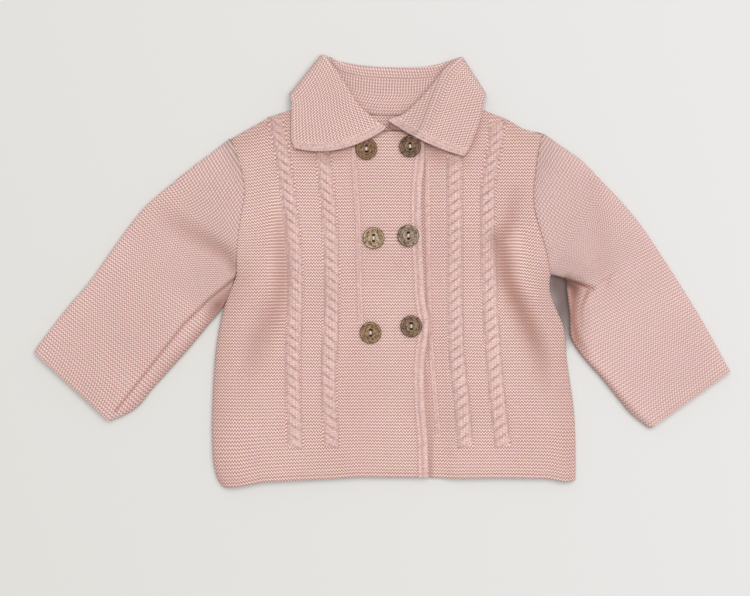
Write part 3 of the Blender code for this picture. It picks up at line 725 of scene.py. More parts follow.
@dataclass(frozen=True)
class ButtonFinish:
    """A moulded button coated like old bronze, rubbed lighter on its rim, with painted shade in its
    holes and round its outer edge.
    """

    name: str
    recess: Colour
    coat: Colour
    rubbed: Colour
    # Painted shade in the holes and round the rim's outer edge
    shadow: Colour = (0.02, 0.01, 0.007)
    mottle: Grain = Grain(560.0, 2.0, 0.6)
    mottle_contrast: Ramp = Ramp(11.0, -5.0)
    mottle_depth: float = 0.12
    mottle_bump: float = 0.8
    patch: Grain = Grain(400.0)
    rub: Ramp = Ramp(4.5, -1.4)  # how much of the rubbed colour shows, by the patches
    roughness: Ramp = Ramp(0.3, 0.38)  # by the mottle
    metallic: float = 0.1
    specular: float = 0.28

    @classmethod
    def aged(cls, metal: Metal, row: str, tone: Colour) -> ButtonFinish:
        """The finish of one button.

        Args:
            metal: How its coating has aged.
            row: Which row of buttons it is in.
            tone: How light the button is drawn there, in red, green and blue. In the top row this
                darkening is partly painted shadow of the collar.

        Returns:
            The finish.
        """
        if metal is Metal.WARM:
            colours = ((0.05, 0.025, 0.012), (0.33, 0.213, 0.125), (0.60, 0.44, 0.28))
        else:
            colours = ((0.035, 0.016, 0.01), (0.245, 0.155, 0.105), (0.49, 0.37, 0.265))
        toned = (tuple(share * part for share, part in zip(tone, colour)) for colour in colours)
        return cls(f"{metal.value}_bronze_{row}", *toned)

    def material(self) -> bpy.types.Material:
        """The finish as a material that reads how much a place is rubbed, and its painted shade."""
        bench = Bench(self.name)
        worn = bench.attribute("worn")
        mottle = bench.noise(self.mottle)
        colour = bench.mix(bench.ramp(mottle, self.mottle_contrast), self.recess, self.coat)
        rub = bench.math("MULTIPLY", worn, bench.ramp(bench.noise(self.patch), self.rub))
        colour = bench.mix(rub, colour, self.rubbed)
        # Below 0 the worn attribute is painted shade, mixed towards the shadow colour.
        colour = bench.mix(bench.math("MULTIPLY", worn, -1.0), colour, self.shadow)
        bench.put(bench.shader.inputs["Base Color"], colour)
        bench.put(bench.shader.inputs["Roughness"], bench.ramp(mottle, self.roughness))
        bench.put(bench.shader.inputs["Metallic"], self.metallic)
        bench.put(bench.shader.inputs["Specular IOR Level"], self.specular)
        bench.bump(mottle, self.mottle_depth * MM, self.mottle_bump)
        return bench.material


@dataclass(frozen=True)
class ThreadFinish:
    """Matt white sewing thread."""

    name: str = "white_thread"
    colour: Colour = (0.80, 0.74, 0.69)
    shade: float = 0.7  # painted shade between its fibres, as a share of the colour
    fibre: Grain = Grain(4200.0, 2.0, 0.6)
    fibre_depth: float = 0.08
    roughness: float = 0.8
    sheen: float = 0.2

    def material(self) -> bpy.types.Material:
        """The finish as a material with fine fibres."""
        bench = Bench(self.name)
        fibre = bench.noise(self.fibre)
        shade = tuple(self.shade * part for part in self.colour)
        bench.put(bench.shader.inputs["Base Color"], bench.mix(fibre, shade, self.colour))
        bench.put(bench.shader.inputs["Roughness"], self.roughness)
        bench.put(bench.shader.inputs["Sheen Weight"], self.sheen)
        bench.bump(fibre, self.fibre_depth * MM)
        return bench.material


@dataclass(frozen=True)
class FloorFinish:
    """Smooth pale board with painted light, a little lighter towards +X, and a painted shadow between
    the sleeve and the side.
    """

    name: str = "pale_board"
    # The board in painted light, on its darker side and on its lighter one
    shaded_board: Colour = (0.612, 0.598, 0.563)
    lit_board: Colour = (0.688, 0.678, 0.668)
    painted_shadow: Colour = (0.165, 0.11, 0.10)
    # Where the shadow is painted: middle and half size, in millimetres, each along X and then Y
    shadow_places: tuple[tuple[float, float, float, float], ...] = (
        (152.0, -26.0, 11.0, 32.0),
        (146.0, -8.0, 9.0, 12.0),
    )
    shadow_fade: Ramp = Ramp(-0.5, 0.95)  # by the square of the distance, in half sizes
    along_x: float = 1.1  # how much lighter the painted light makes it with each metre
    along_y: Ramp = Ramp(0.35, 0.62)
    roughness: float = 0.9
    specular: float = 0.1

    def material(self) -> bpy.types.Material:
        """The finish as a material."""
        bench = Bench(self.name)
        place = bench.tree.nodes.new("ShaderNodeTexCoord")
        split = bench.tree.nodes.new("ShaderNodeSeparateXYZ")
        bench.put(split.inputs[0], place.outputs["Object"])
        x, y = split.outputs["X"], split.outputs["Y"]
        side = bench.math("MULTIPLY_ADD", x, self.along_x, bench.ramp(y, self.along_y))
        colour = bench.mix(side, self.shaded_board, self.lit_board)
        for *middle, half_x, half_y in self.shadow_places:
            parts = []
            for part, centre, half in zip((x, y), middle, (half_x, half_y)):
                share = bench.math("DIVIDE", bench.math("SUBTRACT", part, centre * MM), half * MM)
                parts.append(bench.math("MULTIPLY", share, share))
            fade = bench.ramp(bench.math("ADD", *parts), self.shadow_fade)
            colour = bench.mix(fade, colour, self.painted_shadow)
        bench.put(bench.shader.inputs["Base Color"], colour)
        bench.put(bench.shader.inputs["Roughness"], self.roughness)
        bench.put(bench.shader.inputs["Specular IOR Level"], self.specular)
        return bench.material


# ---------------------------------------------------------------------------------------
# The body


@dataclass
class Cable:
    """A rope of two strands up a front."""

    path: Array
    half: float = 5.4
    gutter: float = 1.8  # width of the furrow on each side
    height: float = 2.4
    valley: float = 0.45  # height between two lumps of the rope, as a share of the whole
    waist: float = 0.86  # width there, as a share of the whole
    roundness: float = 0.6
    furrow: float = 0.6  # depth of the furrow on each side
    furrow_shade: tuple[float, float] = (0.2, 0.55)  # painted shade beside a lump, and how much more beside a gap
    furrow_place: float = 0.1  # how far off the rope its furrow is darkest
    furrow_half: float = 0.8
    gap_share: float = 0.8  # width of the painted shade between two lumps, as a share of the rope's
    twist: float = 8.15
    bottom: float = -146.0
    lead: float = 2.0  # how far below its lower end it begins
    rise_run: float = 5.0  # how far it takes to rise there
    sink_run: float = 8.0  # how far it takes to sink at its upper end
    climb: float = 4.0  # how far a strand climbs from the middle to the edge
    cover_margin: float = 0.8
    cover_fade: float = 1.0

    def shape(self, x: Array, y: Array) -> tuple[Array, Array]:
        """(distance from the middle, how much of the cable is there) at places on the front."""
        started = ease((y - self.bottom + self.lead) / self.rise_run)
        return x - x_at(self.path, y), started * ease((self.path[-1, 1] - y) / self.sink_run)

    def slip(self, x: Array, y: Array) -> Array:
        """How far the rows are slid along the cable, so that its strands cross it at a slant."""
        offset, present = self.shape(x, y)
        across = np.clip(offset / self.half, -1, 1)
        fade = ease((self.half + self.gutter - np.abs(offset)) / self.gutter)
        return self.climb * across * fade * present

    def lump(self, y: Array) -> Array:
        """1 in the middle of each lump of the rope and 0 between two."""
        return np.abs(np.sin(math.pi * (y - self.bottom) / self.twist))

    def relief(self, x: Array, y: Array) -> Array:
        """Height of the rope and depth of the furrows beside it."""
        offset, present = self.shape(x, y)
        lump = self.lump(y)
        across = np.clip(offset / (self.half * (self.waist + (1 - self.waist) * lump)), -1, 1)
        height = self.valley + (1 - self.valley) * np.sqrt(lump)
        rope = self.height * (1 - across**2) ** self.roundness * height
        furrow = self.furrow * bell(np.abs(offset) - self.half - self.gutter / 3, self.gutter / 2)
        return (rope - furrow) * present

    def depth(self, x: Array, y: Array) -> Array:
        """Painted shade in the furrows and between two lumps, 0 to 1."""
        offset, present = self.shape(x, y)
        between = 1 - self.lump(y)
        beside_lump, beside_gap = self.furrow_shade
        beside = bell(np.abs(offset) - self.half - self.furrow_place, self.furrow_half)
        furrow = (beside_lump + beside_gap * between**2) * beside
        gap = between**3 * bell(offset, self.half * self.gap_share)
        return np.maximum(furrow, gap) * present

    def cover(self, x: Array, y: Array) -> Array:
        """1 on the rope and its furrows, where there are no garter ridges."""
        offset, present = self.shape(x, y)
        return ease((self.half + self.cover_margin - np.abs(offset)) / self.cover_fade) * present


@dataclass
class Rib:
    """A double line of chain stitches up a front."""

    path: Array
    half: float = 2.0
    height: float = 0.75
    end_run: float = 4.0  # how far it takes to rise at its ends
    # The furrows beside the chains and between them. Places and widths are in half widths of
    # the rib: depth, place and half width, and the same without the place in the middle.
    beside: tuple[float, float, float] = (0.4, 1.1, 0.3)
    between: tuple[float, float] = (0.2, 0.2)
    # Painted shade: in all, beside the chains (place and half width) and between them
    shade: float = 0.5
    shade_beside: tuple[float, float] = (1.2, 0.25)
    shade_between: float = 0.22
    cover_margin: float = 0.4
    cover_fade: float = 0.6

    def presence(self, y: Array) -> Array:
        """How much of the rib is there at a height."""
        lead = self.end_run / 2
        started = ease((y - self.path[0, 1] + lead) / self.end_run)
        return started * ease((self.path[-1, 1] + lead - y) / self.end_run)

    def relief(self, x: Array, y: Array) -> Array:
        """Height of the two chains."""
        across = np.clip(np.abs(x - x_at(self.path, y)) / self.half, 0, 1)
        pair = np.sin(math.pi * across) ** 2
        depth, place, half = self.beside
        dips = depth * bell(across - place, half) + self.between[0] * bell(across, self.between[1])
        return (self.height * pair - dips) * self.presence(y)

    def depth(self, x: Array, y: Array) -> Array:
        """Painted shade between and beside the chains, 0 to 1."""
        across = np.abs(x - x_at(self.path, y)) / self.half
        place, half = self.shade_beside
        furrows = np.maximum(bell(across - place, half), bell(across, self.shade_between))
        return self.shade * furrows * self.presence(y)

    def cover(self, x: Array, y: Array) -> Array:
        """1 on the chains."""
        inside = self.half + self.cover_margin - np.abs(x - x_at(self.path, y))
        return ease(inside / self.cover_fade) * self.presence(y)


@dataclass
class Body:
    """The outlines that the fronts and the back share."""

    hem: float = -172.5
    neck_edge: float = 116.5  # where the right front's opening turns into its neckline
    neck_point: float = 145.5
    centre: tuple[float, float] = (10.0, -30.0)
    droop_starts: float = -112.0
    side_right: Array = field(default_factory=lambda: line(
        (-132.5, -172.5), (-136.5, -167.5), (-140.0, -158.0), (-142.0, -137.0),
        (-141.5, -106.5), (-138.0, -60.0), (-133.0, -33.5), (-121.0, -1.0),
    ))
    armhole_right: Array = field(default_factory=lambda: line(
        (-121.0, -1.0), (-121.0, 20.0), (-118.0, 45.0), (-115.0, 65.0), (-117.0, 84.0),
        (-121.0, 97.0), (-126.5, 110.5),
    ))
    shoulder_right: Array = field(default_factory=lambda: line(
        (-126.5, 110.5), (-110.5, 119.5), (-88.0, 131.0), (-78.5, 134.0), (-51.0, 145.5),
    ))
    side_left: Array = field(default_factory=lambda: line(
        (162.0, -172.5), (162.0, -151.0), (161.0, -121.5), (154.5, -72.5), (151.5, -44.5),
        (145.0, -29.5), (140.5, -15.0), (141.0, -3.0),
    ))
    armhole_left: Array = field(default_factory=lambda: line(
        (141.0, -3.0), (137.5, 17.0), (132.0, 36.0), (128.0, 51.0), (127.0, 66.0),
        (128.5, 82.0), (131.0, 100.0), (134.5, 115.0),
    ))
    shoulder_left: Array = field(default_factory=lambda: line(
        (134.5, 115.0), (119.5, 118.5), (104.5, 127.0), (91.5, 132.0), (65.0, 145.5),
    ))
    neckline_back: Array = field(default_factory=lambda: line(
        (-51.0, 145.5), (-46.0, 142.0), (-35.0, 137.0), (-15.0, 132.5), (6.5, 131.0),
        (28.0, 132.5), (48.5, 137.0), (60.0, 142.0), (65.0, 145.5),
    ))
    hem_droop: Array = field(
        default_factory=lambda: np.array(
            [
                (-133.0, -8.5), (-120.0, -8.0), (-99.5, -4.0), (-69.5, -2.5), (-39.0, -1.0),
                (-19.0, 0.3), (36.0, 0.0), (57.0, -1.0), (100.0, -0.5), (140.0, -1.0),
                (153.0, -4.0), (162.0, -2.5),
            ]
        )
    )

    def droop(self, x: Array, y: Array) -> Array:
        """How far above its nominal place the cloth near the hem lies, mostly below 0."""
        share = (self.droop_starts - y) / (self.droop_starts - self.hem)
        return height_at(self.hem_droop, x) * ease(share)


def filled(guides: list[Array], counts: list[int]) -> Array:
    """Columns between guides.

    Args:
        guides: x of each guide at each row.
        counts: How many columns each stretch between two guides is parted into.

    Returns:
        x of all columns at each row.
    """
    columns = []
    for start, end, count in zip(guides[:-1], guides[1:], counts):
        columns += [start + (end - start) * step / count for step in range(count)]
    return np.stack([*columns, guides[-1]], axis=-1)


@dataclass
class Slope:
    """How the rows sink from a cable to the armhole."""

    start: float  # x where they begin to sink
    end: float  # x where they are lowest
    drop: float
    low: float  # heights between which they sink in full
    high: float
    fade: float

    def at(self, x: Array, y: Array) -> Array:
        """How far the row through a place has sunk."""
        window = ease((y - self.low) / self.fade + 1) * ease((self.high - y) / self.fade + 1)
        return self.drop * ease((x - self.start) / (self.end - self.start)) * window


@dataclass
class Front:
    """One front, with two cables, a double rib and, where it lies on top, a rolled edging."""

    name: str
    side: Layer  # UPPER for the right front, which lies on top, and LOWER for the left one
    seam: Array  # side seam, armhole and shoulder, from the hem up
    fold_ends: tuple[float, float]  # the side seam's upper end and the shoulder's lower end
    opening: Array  # front edge and neckline, from the hem up
    cables: list[Cable]
    rib: Rib
    tilt: Slope  # of the rows towards the armhole
    column: float = 2.6
    taut: list[Spot] = field(default_factory=list)  # where the cloth is pulled straight
    creases: list[Crease] = field(default_factory=list)
    shades: list[Spot] = field(default_factory=list)  # painted shade, where little light comes
    seam_shade: float = 0.2  # painted shade along the armhole seam
    side_shade: float = 0.1  # painted shade where the cloth turns down at the side
    side_reach: float = 14.0  # and how far in from there it is darker
    tucked_top: float = 5.1  # upper face of the left front under the right one
    tuck_rise: tuple[float, float] = (2.7, 16.0)  # from its rib, where it climbs to full height
    hem_sink: float = 0.3  # depth of the furrow above the hem
    hem_half: float = 0.9
    hem_shade: float = 0.25
    uneven: float = 0.22
    uneven_wave: float = 38.0
    uneven_seed: int = 3
    # Waves across the right front between its buttons: height on the front, and swelling
    waves: tuple[tuple[float, float], ...] = (
        (38.0, 0.5), (28.0, -0.5), (18.0, 0.45), (-40.0, 0.35), (-52.0, -0.4),
    )
    wave_middle: float = 8.0
    wave_half: tuple[float, float] = (16.0, 4.0)
    slope_reach: int = 6  # rows on each side that the side's slope is averaged over
    steepest: float = 4.0
    side_share: float = 0.3  # the most of a row that the columns beside the side seam take up
    gutter_columns: int = 2
    cable_columns: int = 10
    rib_columns: int = 9
    rib_margin: float = 1.0
    edging_columns: int = 14
    corner_half: float = 0.5  # half height of the neckline's corner
    row_room: float = 0.3  # no other row comes closer to the corner
    edging_edge: float = 8.3  # where the garter ridges begin beside the edging
    edging_furrows: tuple[float, float] = (5.5, 9.0)
    edging_furrow_half: float = 0.7
    edging_shade: float = 0.4
    edging_fade: float = 3.0
    # Across the rolled edging: distance from the opening, and height
    edging: Array = field(
        default_factory=lambda: smooth_through(
            [
                (0.0, -0.5), (0.9, 1.1), (2.6, 1.7), (4.3, 1.0), (5.4, -0.5), (7.0, 0.7),
                (8.6, -0.1), (10.0, 0.0),
            ],
            np.arange(8.0),
            np.linspace(0, 7, 36),
        )
    )

    @property
    def mirror(self) -> int:
        """1 for the front whose opening is at its +X side, and -1 for the other."""
        return self.side.value

    def rows(self, body: Body) -> Array:
        """Nominal heights of the rows, with one on each side of the neckline's corner."""
        count = round((body.neck_point - body.hem) / KNIT.row)
        rows = np.linspace(body.hem, body.neck_point, count + 1)
        corner = [body.neck_edge - self.corner_half, body.neck_edge + self.corner_half]
        kept = [row for row in rows if min(abs(row - y) for y in corner) > self.row_room]
        return np.sort(np.array(kept + corner))

    def columns(self, body: Body, rows: Array) -> Array:
        """x of each column at each row, from the side seam to the opening.

        Args:
            body: The outlines.
            rows: Nominal heights of the rows.

        Returns:
            An array with a row for each height.
        """
        outer = self.mirror * x_at(self.seam, rows)
        inner = self.mirror * x_at(self.opening, rows)
        slope = np.clip(np.hypot(1, np.gradient(outer, rows)), 1, self.steepest)
        slope = averaged(slope, self.slope_reach, mode="edge")
        room = (inner - outer) * self.side_share
        guides = [outer + np.minimum(step * slope, room * step / KNIT.fold_run) for step in KNIT.steps]
        counts = [1] * (len(KNIT.steps) - 1)
        low = guides[-1]
        on_top = self.side is Layer.UPPER
        below_neck = ease(body.neck_edge + self.corner_half - rows)
        high = inner - (self.edging[-1, 0] * below_neck if on_top else 0)
        stops = []
        for cable in self.cables:
            reach = cable.half + cable.gutter
            stops += [
                (cable.path, -reach, None),
                (cable.path, -cable.half, self.gutter_columns),
                (cable.path, cable.half, self.cable_columns),
                (cable.path, reach, self.gutter_columns),
            ]
        reach = self.rib.half + self.rib_margin
        stops += [(self.rib.path, -reach, None), (self.rib.path, reach, self.rib_columns)]
        for path, offset, count in stops:
            x = np.clip(self.mirror * x_at(path, rows) + offset, low, high)
            counts.append(count or max(1, round(np.mean(x - guides[-1]) / self.column)))
            guides.append(np.maximum(x, guides[-1]))
        counts.append(max(1, round(np.mean(high - guides[-1]) / self.column)))
        guides.append(np.maximum(high, guides[-1]))
        if on_top:
            counts.append(self.edging_columns)
            guides.append(np.maximum(inner, guides[-1]))
        return self.mirror * filled(guides, counts)

    def top(self, x: Array, y: Array) -> Array:
        """Height of the plain face."""
        if self.side is Layer.UPPER:
            return np.full(x.shape, KNIT.loft)
        from_rib = x - x_at(self.rib.path, y)
        climb = ease((from_rib - self.tuck_rise[0]) / (self.tuck_rise[1] - self.tuck_rise[0]))
        return self.tucked_top + (KNIT.loft - self.tucked_top) * climb

    def pucker(self, x: Array, y: Array) -> Array:
        """Soft waves where the buttons pull the cloth, and the unevenness of the whole."""
        waves = np.zeros(x.shape)
        if self.side is Layer.UPPER:
            for place, swelling in self.waves:
                along_front = bell(y - place, self.wave_half[1])
                waves += swelling * along_front * bell(x - self.wave_middle, self.wave_half[0])
        return waves + self.uneven * wander(x, y, self.uneven_wave, self.uneven_seed + self.mirror)

    def shell(self, body: Body) -> Shell:
        """The front as a knitted wall.

        Args:
            body: The outlines.

        Returns:
            Its two faces and its stitches.
        """
        rows = self.rows(body)
        x = self.columns(body, rows)
        y = np.broadcast_to(rows[:, None], x.shape)
        low = y + body.droop(x, y)
        edge = np.stack([x[:, 0], low[:, 0]], axis=-1)
        folds = [edge[rows <= self.fold_ends[0] + 1][::8], edge[rows >= self.fold_ends[1] - 1][::4]]
        distance, away = from_folds(x, low, folds, np.array(body.centre))
        rise = KNIT.rise(distance)
        edge_height = KNIT.middle + KNIT.gap / 2
        depth, shade = pressed(x, y, self.creases)
        height = edge_height + (self.top(x, y) - edge_height - depth) * rise
        outer = np.stack([x, low, height], axis=-1)
        normal = KNIT.normal(distance, away, 1)
        inner = outer - KNIT.wall * normal
        relief = self.rib.relief(x, y) + self.pucker(x, y)
        cover = self.rib.cover(x, y)
        shade = np.maximum(shade, self.side_shade * bell(distance, self.side_reach))
        painted_shade = np.maximum(self.rib.depth(x, y), shade)
        for spot in self.shades:
            painted_shade = np.maximum(painted_shade, spot.at(x, y))
        for cable in self.cables:
            relief = relief + cable.relief(x, y)
            cover = np.maximum(cover, cable.cover(x, y))
            painted_shade = np.maximum(painted_shade, cable.depth(x, y))
            outer[..., 1] -= self.mirror * cable.slip(x, y)
        inwards = np.full(x.shape, np.inf)
        if self.side is Layer.UPPER:
            inwards = x_at(self.opening, y) - x
            fade = ease((body.neck_edge - self.corner_half - y) / self.edging_fade)
            relief = relief + height_at(self.edging, np.clip(inwards, 0, self.edging[-1, 0])) * fade
            cover = np.maximum(cover, ease(self.edging_edge - inwards) * fade)
            for furrow in self.edging_furrows:
                darker = self.edging_shade * bell(inwards - furrow, self.edging_furrow_half)
                painted_shade = np.maximum(painted_shade, darker * fade)
        outer[..., 2] += relief * rise
        armhole = (rows > self.fold_ends[0]) & (rows < self.fold_ends[1])
        seam = np.where(armhole[:, None], np.abs(x - x[:, :1]), np.inf)
        outer[..., 2] -= KNIT.seam_sink * bell(seam, KNIT.seam_half)
        painted_shade = np.maximum(painted_shade, self.seam_shade * bell(seam, KNIT.seam_line))
        from_hem = y - body.hem
        outer[..., 2] -= self.hem_sink * bell(from_hem - KNIT.cast_on, self.hem_half)
        painted_shade = np.maximum(painted_shade, self.hem_shade * bell(from_hem - KNIT.cast_on, KNIT.cast_on_half))
        phase = KNIT.phase(x, y) + self.tilt.at(x, y)
        outer += normal * (KNIT.relief * KNIT.ridges(phase) * (1 - cover))[..., None]
        stitch = np.stack([x, np.where(cover > 0.5, y, phase)], axis=-1)
        sway = 1 - sum(spot.at(x, y) for spot in self.taut)
        return Shell(self.name, outer, inner, stitch, cover, painted_shade, sway, np.minimum(from_hem, inwards))


@dataclass
class Back:
    """The back, whose outer face lies on the floor."""

    name: str = "back"
    column: float = 3.3
    plain_top: float = 93.5  # above this row the columns close up towards the shoulders

    def shell(self, body: Body) -> Shell:
        """The back as a knitted wall.

        Args:
            body: The outlines.

        Returns:
            Its two faces and its stitches.
        """
        steps = np.array(KNIT.steps)
        rows = np.linspace(body.hem, self.plain_top, round((self.plain_top - body.hem) / KNIT.row) + 1)
        left = x_at(np.concatenate([body.side_right, body.armhole_right[1:]]), rows)
        right = x_at(np.concatenate([body.side_left, body.armhole_left[1:]]), rows)
        count = round(np.mean(right - left) / self.column)
        shares = np.linspace(0, 1, count)[1:-1]

        def spread(start: Array, end: Array) -> Array:
            """Columns from one edge to the other, close together beside each."""
            start, end = np.atleast_1d(start)[:, None], np.atleast_1d(end)[:, None]
            inside = start + steps[-1] + (end - start - 2 * steps[-1]) * shares
            return np.concatenate([start + steps, inside, end - steps[::-1]], axis=1)

        x = spread(left, right)
        y = np.broadcast_to(rows[:, None], x.shape)
        neck = body.neckline_back
        top_line = np.concatenate([body.shoulder_right, neck[1:-1], body.shoulder_left[::-1]])
        tip = spread(top_line[0, 0], top_line[-1, 0])[0]
        top = height_at(top_line, tip)
        share = np.linspace(0, 1, round((body.neck_point - self.plain_top) / KNIT.row) + 1)[1:, None]
        x = np.concatenate([x, x[-1] * (1 - share) + tip * share])
        y = np.concatenate([y, self.plain_top + (top - self.plain_top) * share])
        low = y + body.droop(x, y)
        plan = np.stack([x, low], axis=-1)
        seams = np.sum(rows < body.side_right[-1, 1])
        tips = plan[-1]
        sides = [plan[:seams:8, 0], plan[:seams:8, -1]]
        folds = [*sides, tips[tip <= neck[0, 0]], tips[tip >= neck[-1, 0]]]
        distance, away = from_folds(x, low, folds, np.array(body.centre))
        height = (KNIT.middle - KNIT.gap / 2) * (1 - KNIT.rise(distance))
        outer = np.stack([x, low, height], axis=-1)
        normal = KNIT.normal(distance, away, -1)
        inner = outer - KNIT.wall * normal
        phase = KNIT.phase(x, y)
        outer += normal * (KNIT.relief * (KNIT.ridges(phase) - 1))[..., None]
        inner -= normal * (KNIT.relief * KNIT.ridges(phase))[..., None]
        stitch = np.stack([x, phase], axis=-1)
        none = np.zeros(x.shape)
        return Shell(self.name, outer, inner, stitch, none, none, none + 1, y - body.hem)


# ---------------------------------------------------------------------------------------
# Sleeves


@dataclass
class Sleeve:
    """A sleeve as a flattened tube, whose ridges fan out from the shoulder."""

    name: str
    upper: Array  # upper folded edge, from the shoulder to the cuff
    armhole: Array  # from the shoulder down to the armpit
    lower: Array  # lower folded edge, from the armpit to the cuff
    fan: Array  # where ridges meet the upper edge, and where they meet the armhole and lower edge
    creases: list[Crease]
    seam_shade: float = 0.2  # painted shade along the armhole seam
    soft: float = 0.22  # how far the fluffed yarn hides its ridges
    ridges: int = 92
    uneven: float = 0.3
    uneven_wave: float = 34.0
    uneven_seed: int = 369
    cuff_shade: float = 0.2  # painted shade in the furrow beside the cuff
    edge_sway: float = 0.75  # of the yarn at the folded edges, where it is pulled straight
    sway_run: tuple[float, float] = (6.0, 22.0)  # from an edge, where it grows to 1
    fan_reach: int = 9  # rows on each side that the fan is averaged over
    armpit_reach: float = 14.0  # rows over which it is drawn back to meet the armpit
    edge_share: float = 3.0  # the columns beside a fold take up at most a row's width over this
    columns_between: int = 28
    near_steps: tuple[float, ...] = (7.4, 8.7, 10.0, 11.3, 12.6, 13.9, 15.2, 16.5, 17.8, 19.1)

    def ladder(self) -> tuple[Array, Array, int]:
        """Both ends of each row of points.

        Returns:
            The feet, the heads, and how many rows there are above the armpit.
        """
        feet = np.concatenate([self.armhole, self.lower[1:]])
        armpit = lengths(self.armhole)[-1]
        ends = np.array([lengths(self.upper)[-1], lengths(feet)[-1]])
        fan = np.append(self.fan[:-1], [ends], axis=0)
        head_at_armpit = float(np.interp(armpit, fan[:, 1], fan[:, 0]))
        rows = self.ridges * KNIT.rows_per_ridge
        above = round(rows * head_at_armpit / ends[0])
        below = rows - above
        heads = np.linspace(0, head_at_armpit, above + 1)
        heads = np.append(heads, np.linspace(head_at_armpit, ends[0], below + 1)[1:])
        places = np.interp(heads, fan[:, 0], fan[:, 1])
        soft = averaged(places, self.fan_reach, mode="reflect", reflect_type="odd")
        nearby = bell(np.arange(len(places)) - above, self.armpit_reach)
        soft += (places[above] - soft[above]) * nearby
        return along(feet, soft), along(self.upper, heads), above

    def across(self, width: Array) -> Array:
        """Distances of the columns from the foot of each row, over the top and back below."""
        steps = np.array(KNIT.steps)
        near_steps = np.append(steps, self.near_steps)
        rows = []
        for room in width:
            near = near_steps * min(1, room / self.edge_share / near_steps[-1])
            far = room - steps[::-1] * min(1, room / self.edge_share / KNIT.fold_run)
            between = np.linspace(near[-1], far[0], self.columns_between)[1:-1]
            face = np.concatenate([near, between, far])
            rows.append(np.concatenate([face, face[-2::-1]]))
        return np.array(rows)

    def shell(self) -> Shell:
        """The sleeve as a knitted wall."""
        foot, head, above = self.ladder()
        chord = head - foot
        width = np.linalg.norm(chord, axis=1, keepdims=True)
        chord = np.where(width > 0, chord / np.maximum(width, TINY), (0, -1))
        across = self.across(width[:, 0])
        plan = foot[:, None] + across[..., None] * chord[:, None]
        x, y = plan[..., 0], plan[..., 1]
        distance, away = from_folds(x, y, [self.upper[::2], self.lower[::2]])
        ridge = across.shape[1] // 2
        distance[:, ridge] = 0
        away[:, ridge] = -chord
        for column in (0, -1):
            distance[above:, column] = 0
            away[above:, column] = chord[above:]
        distance[0] = 0
        away[0] = (0, -1)
        face = np.where(np.arange(x.shape[1]) <= ridge, 1, -1)
        rise = KNIT.rise(distance)
        room = np.maximum(KNIT.loft * rise - 2 * KNIT.wall - KNIT.gap, 0)
        height = KNIT.middle + face * KNIT.middle * rise
        upper = np.where(face > 0, rise, 0)
        depth, shade = pressed(x, y, self.creases)
        uneven = self.uneven * upper * wander(x, y, self.uneven_wave, self.uneven_seed)
        height = height - upper * depth * room + uneven
        outer = np.stack([x, y, height], axis=-1)
        normal = KNIT.normal(distance, away, face)
        inner = outer - KNIT.wall * normal
        index = np.arange(len(x))[:, None]
        seam, _ = from_folds(x, y, [self.armhole])
        outer[..., 2] -= KNIT.seam_sink * bell(seam, KNIT.seam_half) * (face > 0)
        phase = np.broadcast_to(index * KNIT.row, x.shape)
        lift = KNIT.relief * (KNIT.ridges(phase) - np.where(face > 0, 0, 1))
        outer += normal * lift[..., None]
        stitch = np.stack([across, phase], axis=-1)
        cuff = (len(x) - 1 - index) * KNIT.row
        furrow = self.cuff_shade * bell(cuff - KNIT.cast_on, KNIT.cast_on_half)
        painted_shade = np.maximum(self.seam_shade * bell(seam, KNIT.seam_line), furrow)
        painted_shade = np.maximum(painted_shade, shade) * (face > 0)
        start, end = self.sway_run
        sway = self.edge_sway + (1 - self.edge_sway) * ease((distance - start) / (end - start))
        plain = np.zeros(x.shape)
        open_edge = np.broadcast_to(cuff, x.shape)
        return Shell(self.name, outer, inner, stitch, plain, painted_shade, sway, open_edge, self.soft)


# ---------------------------------------------------------------------------------------
# Collar


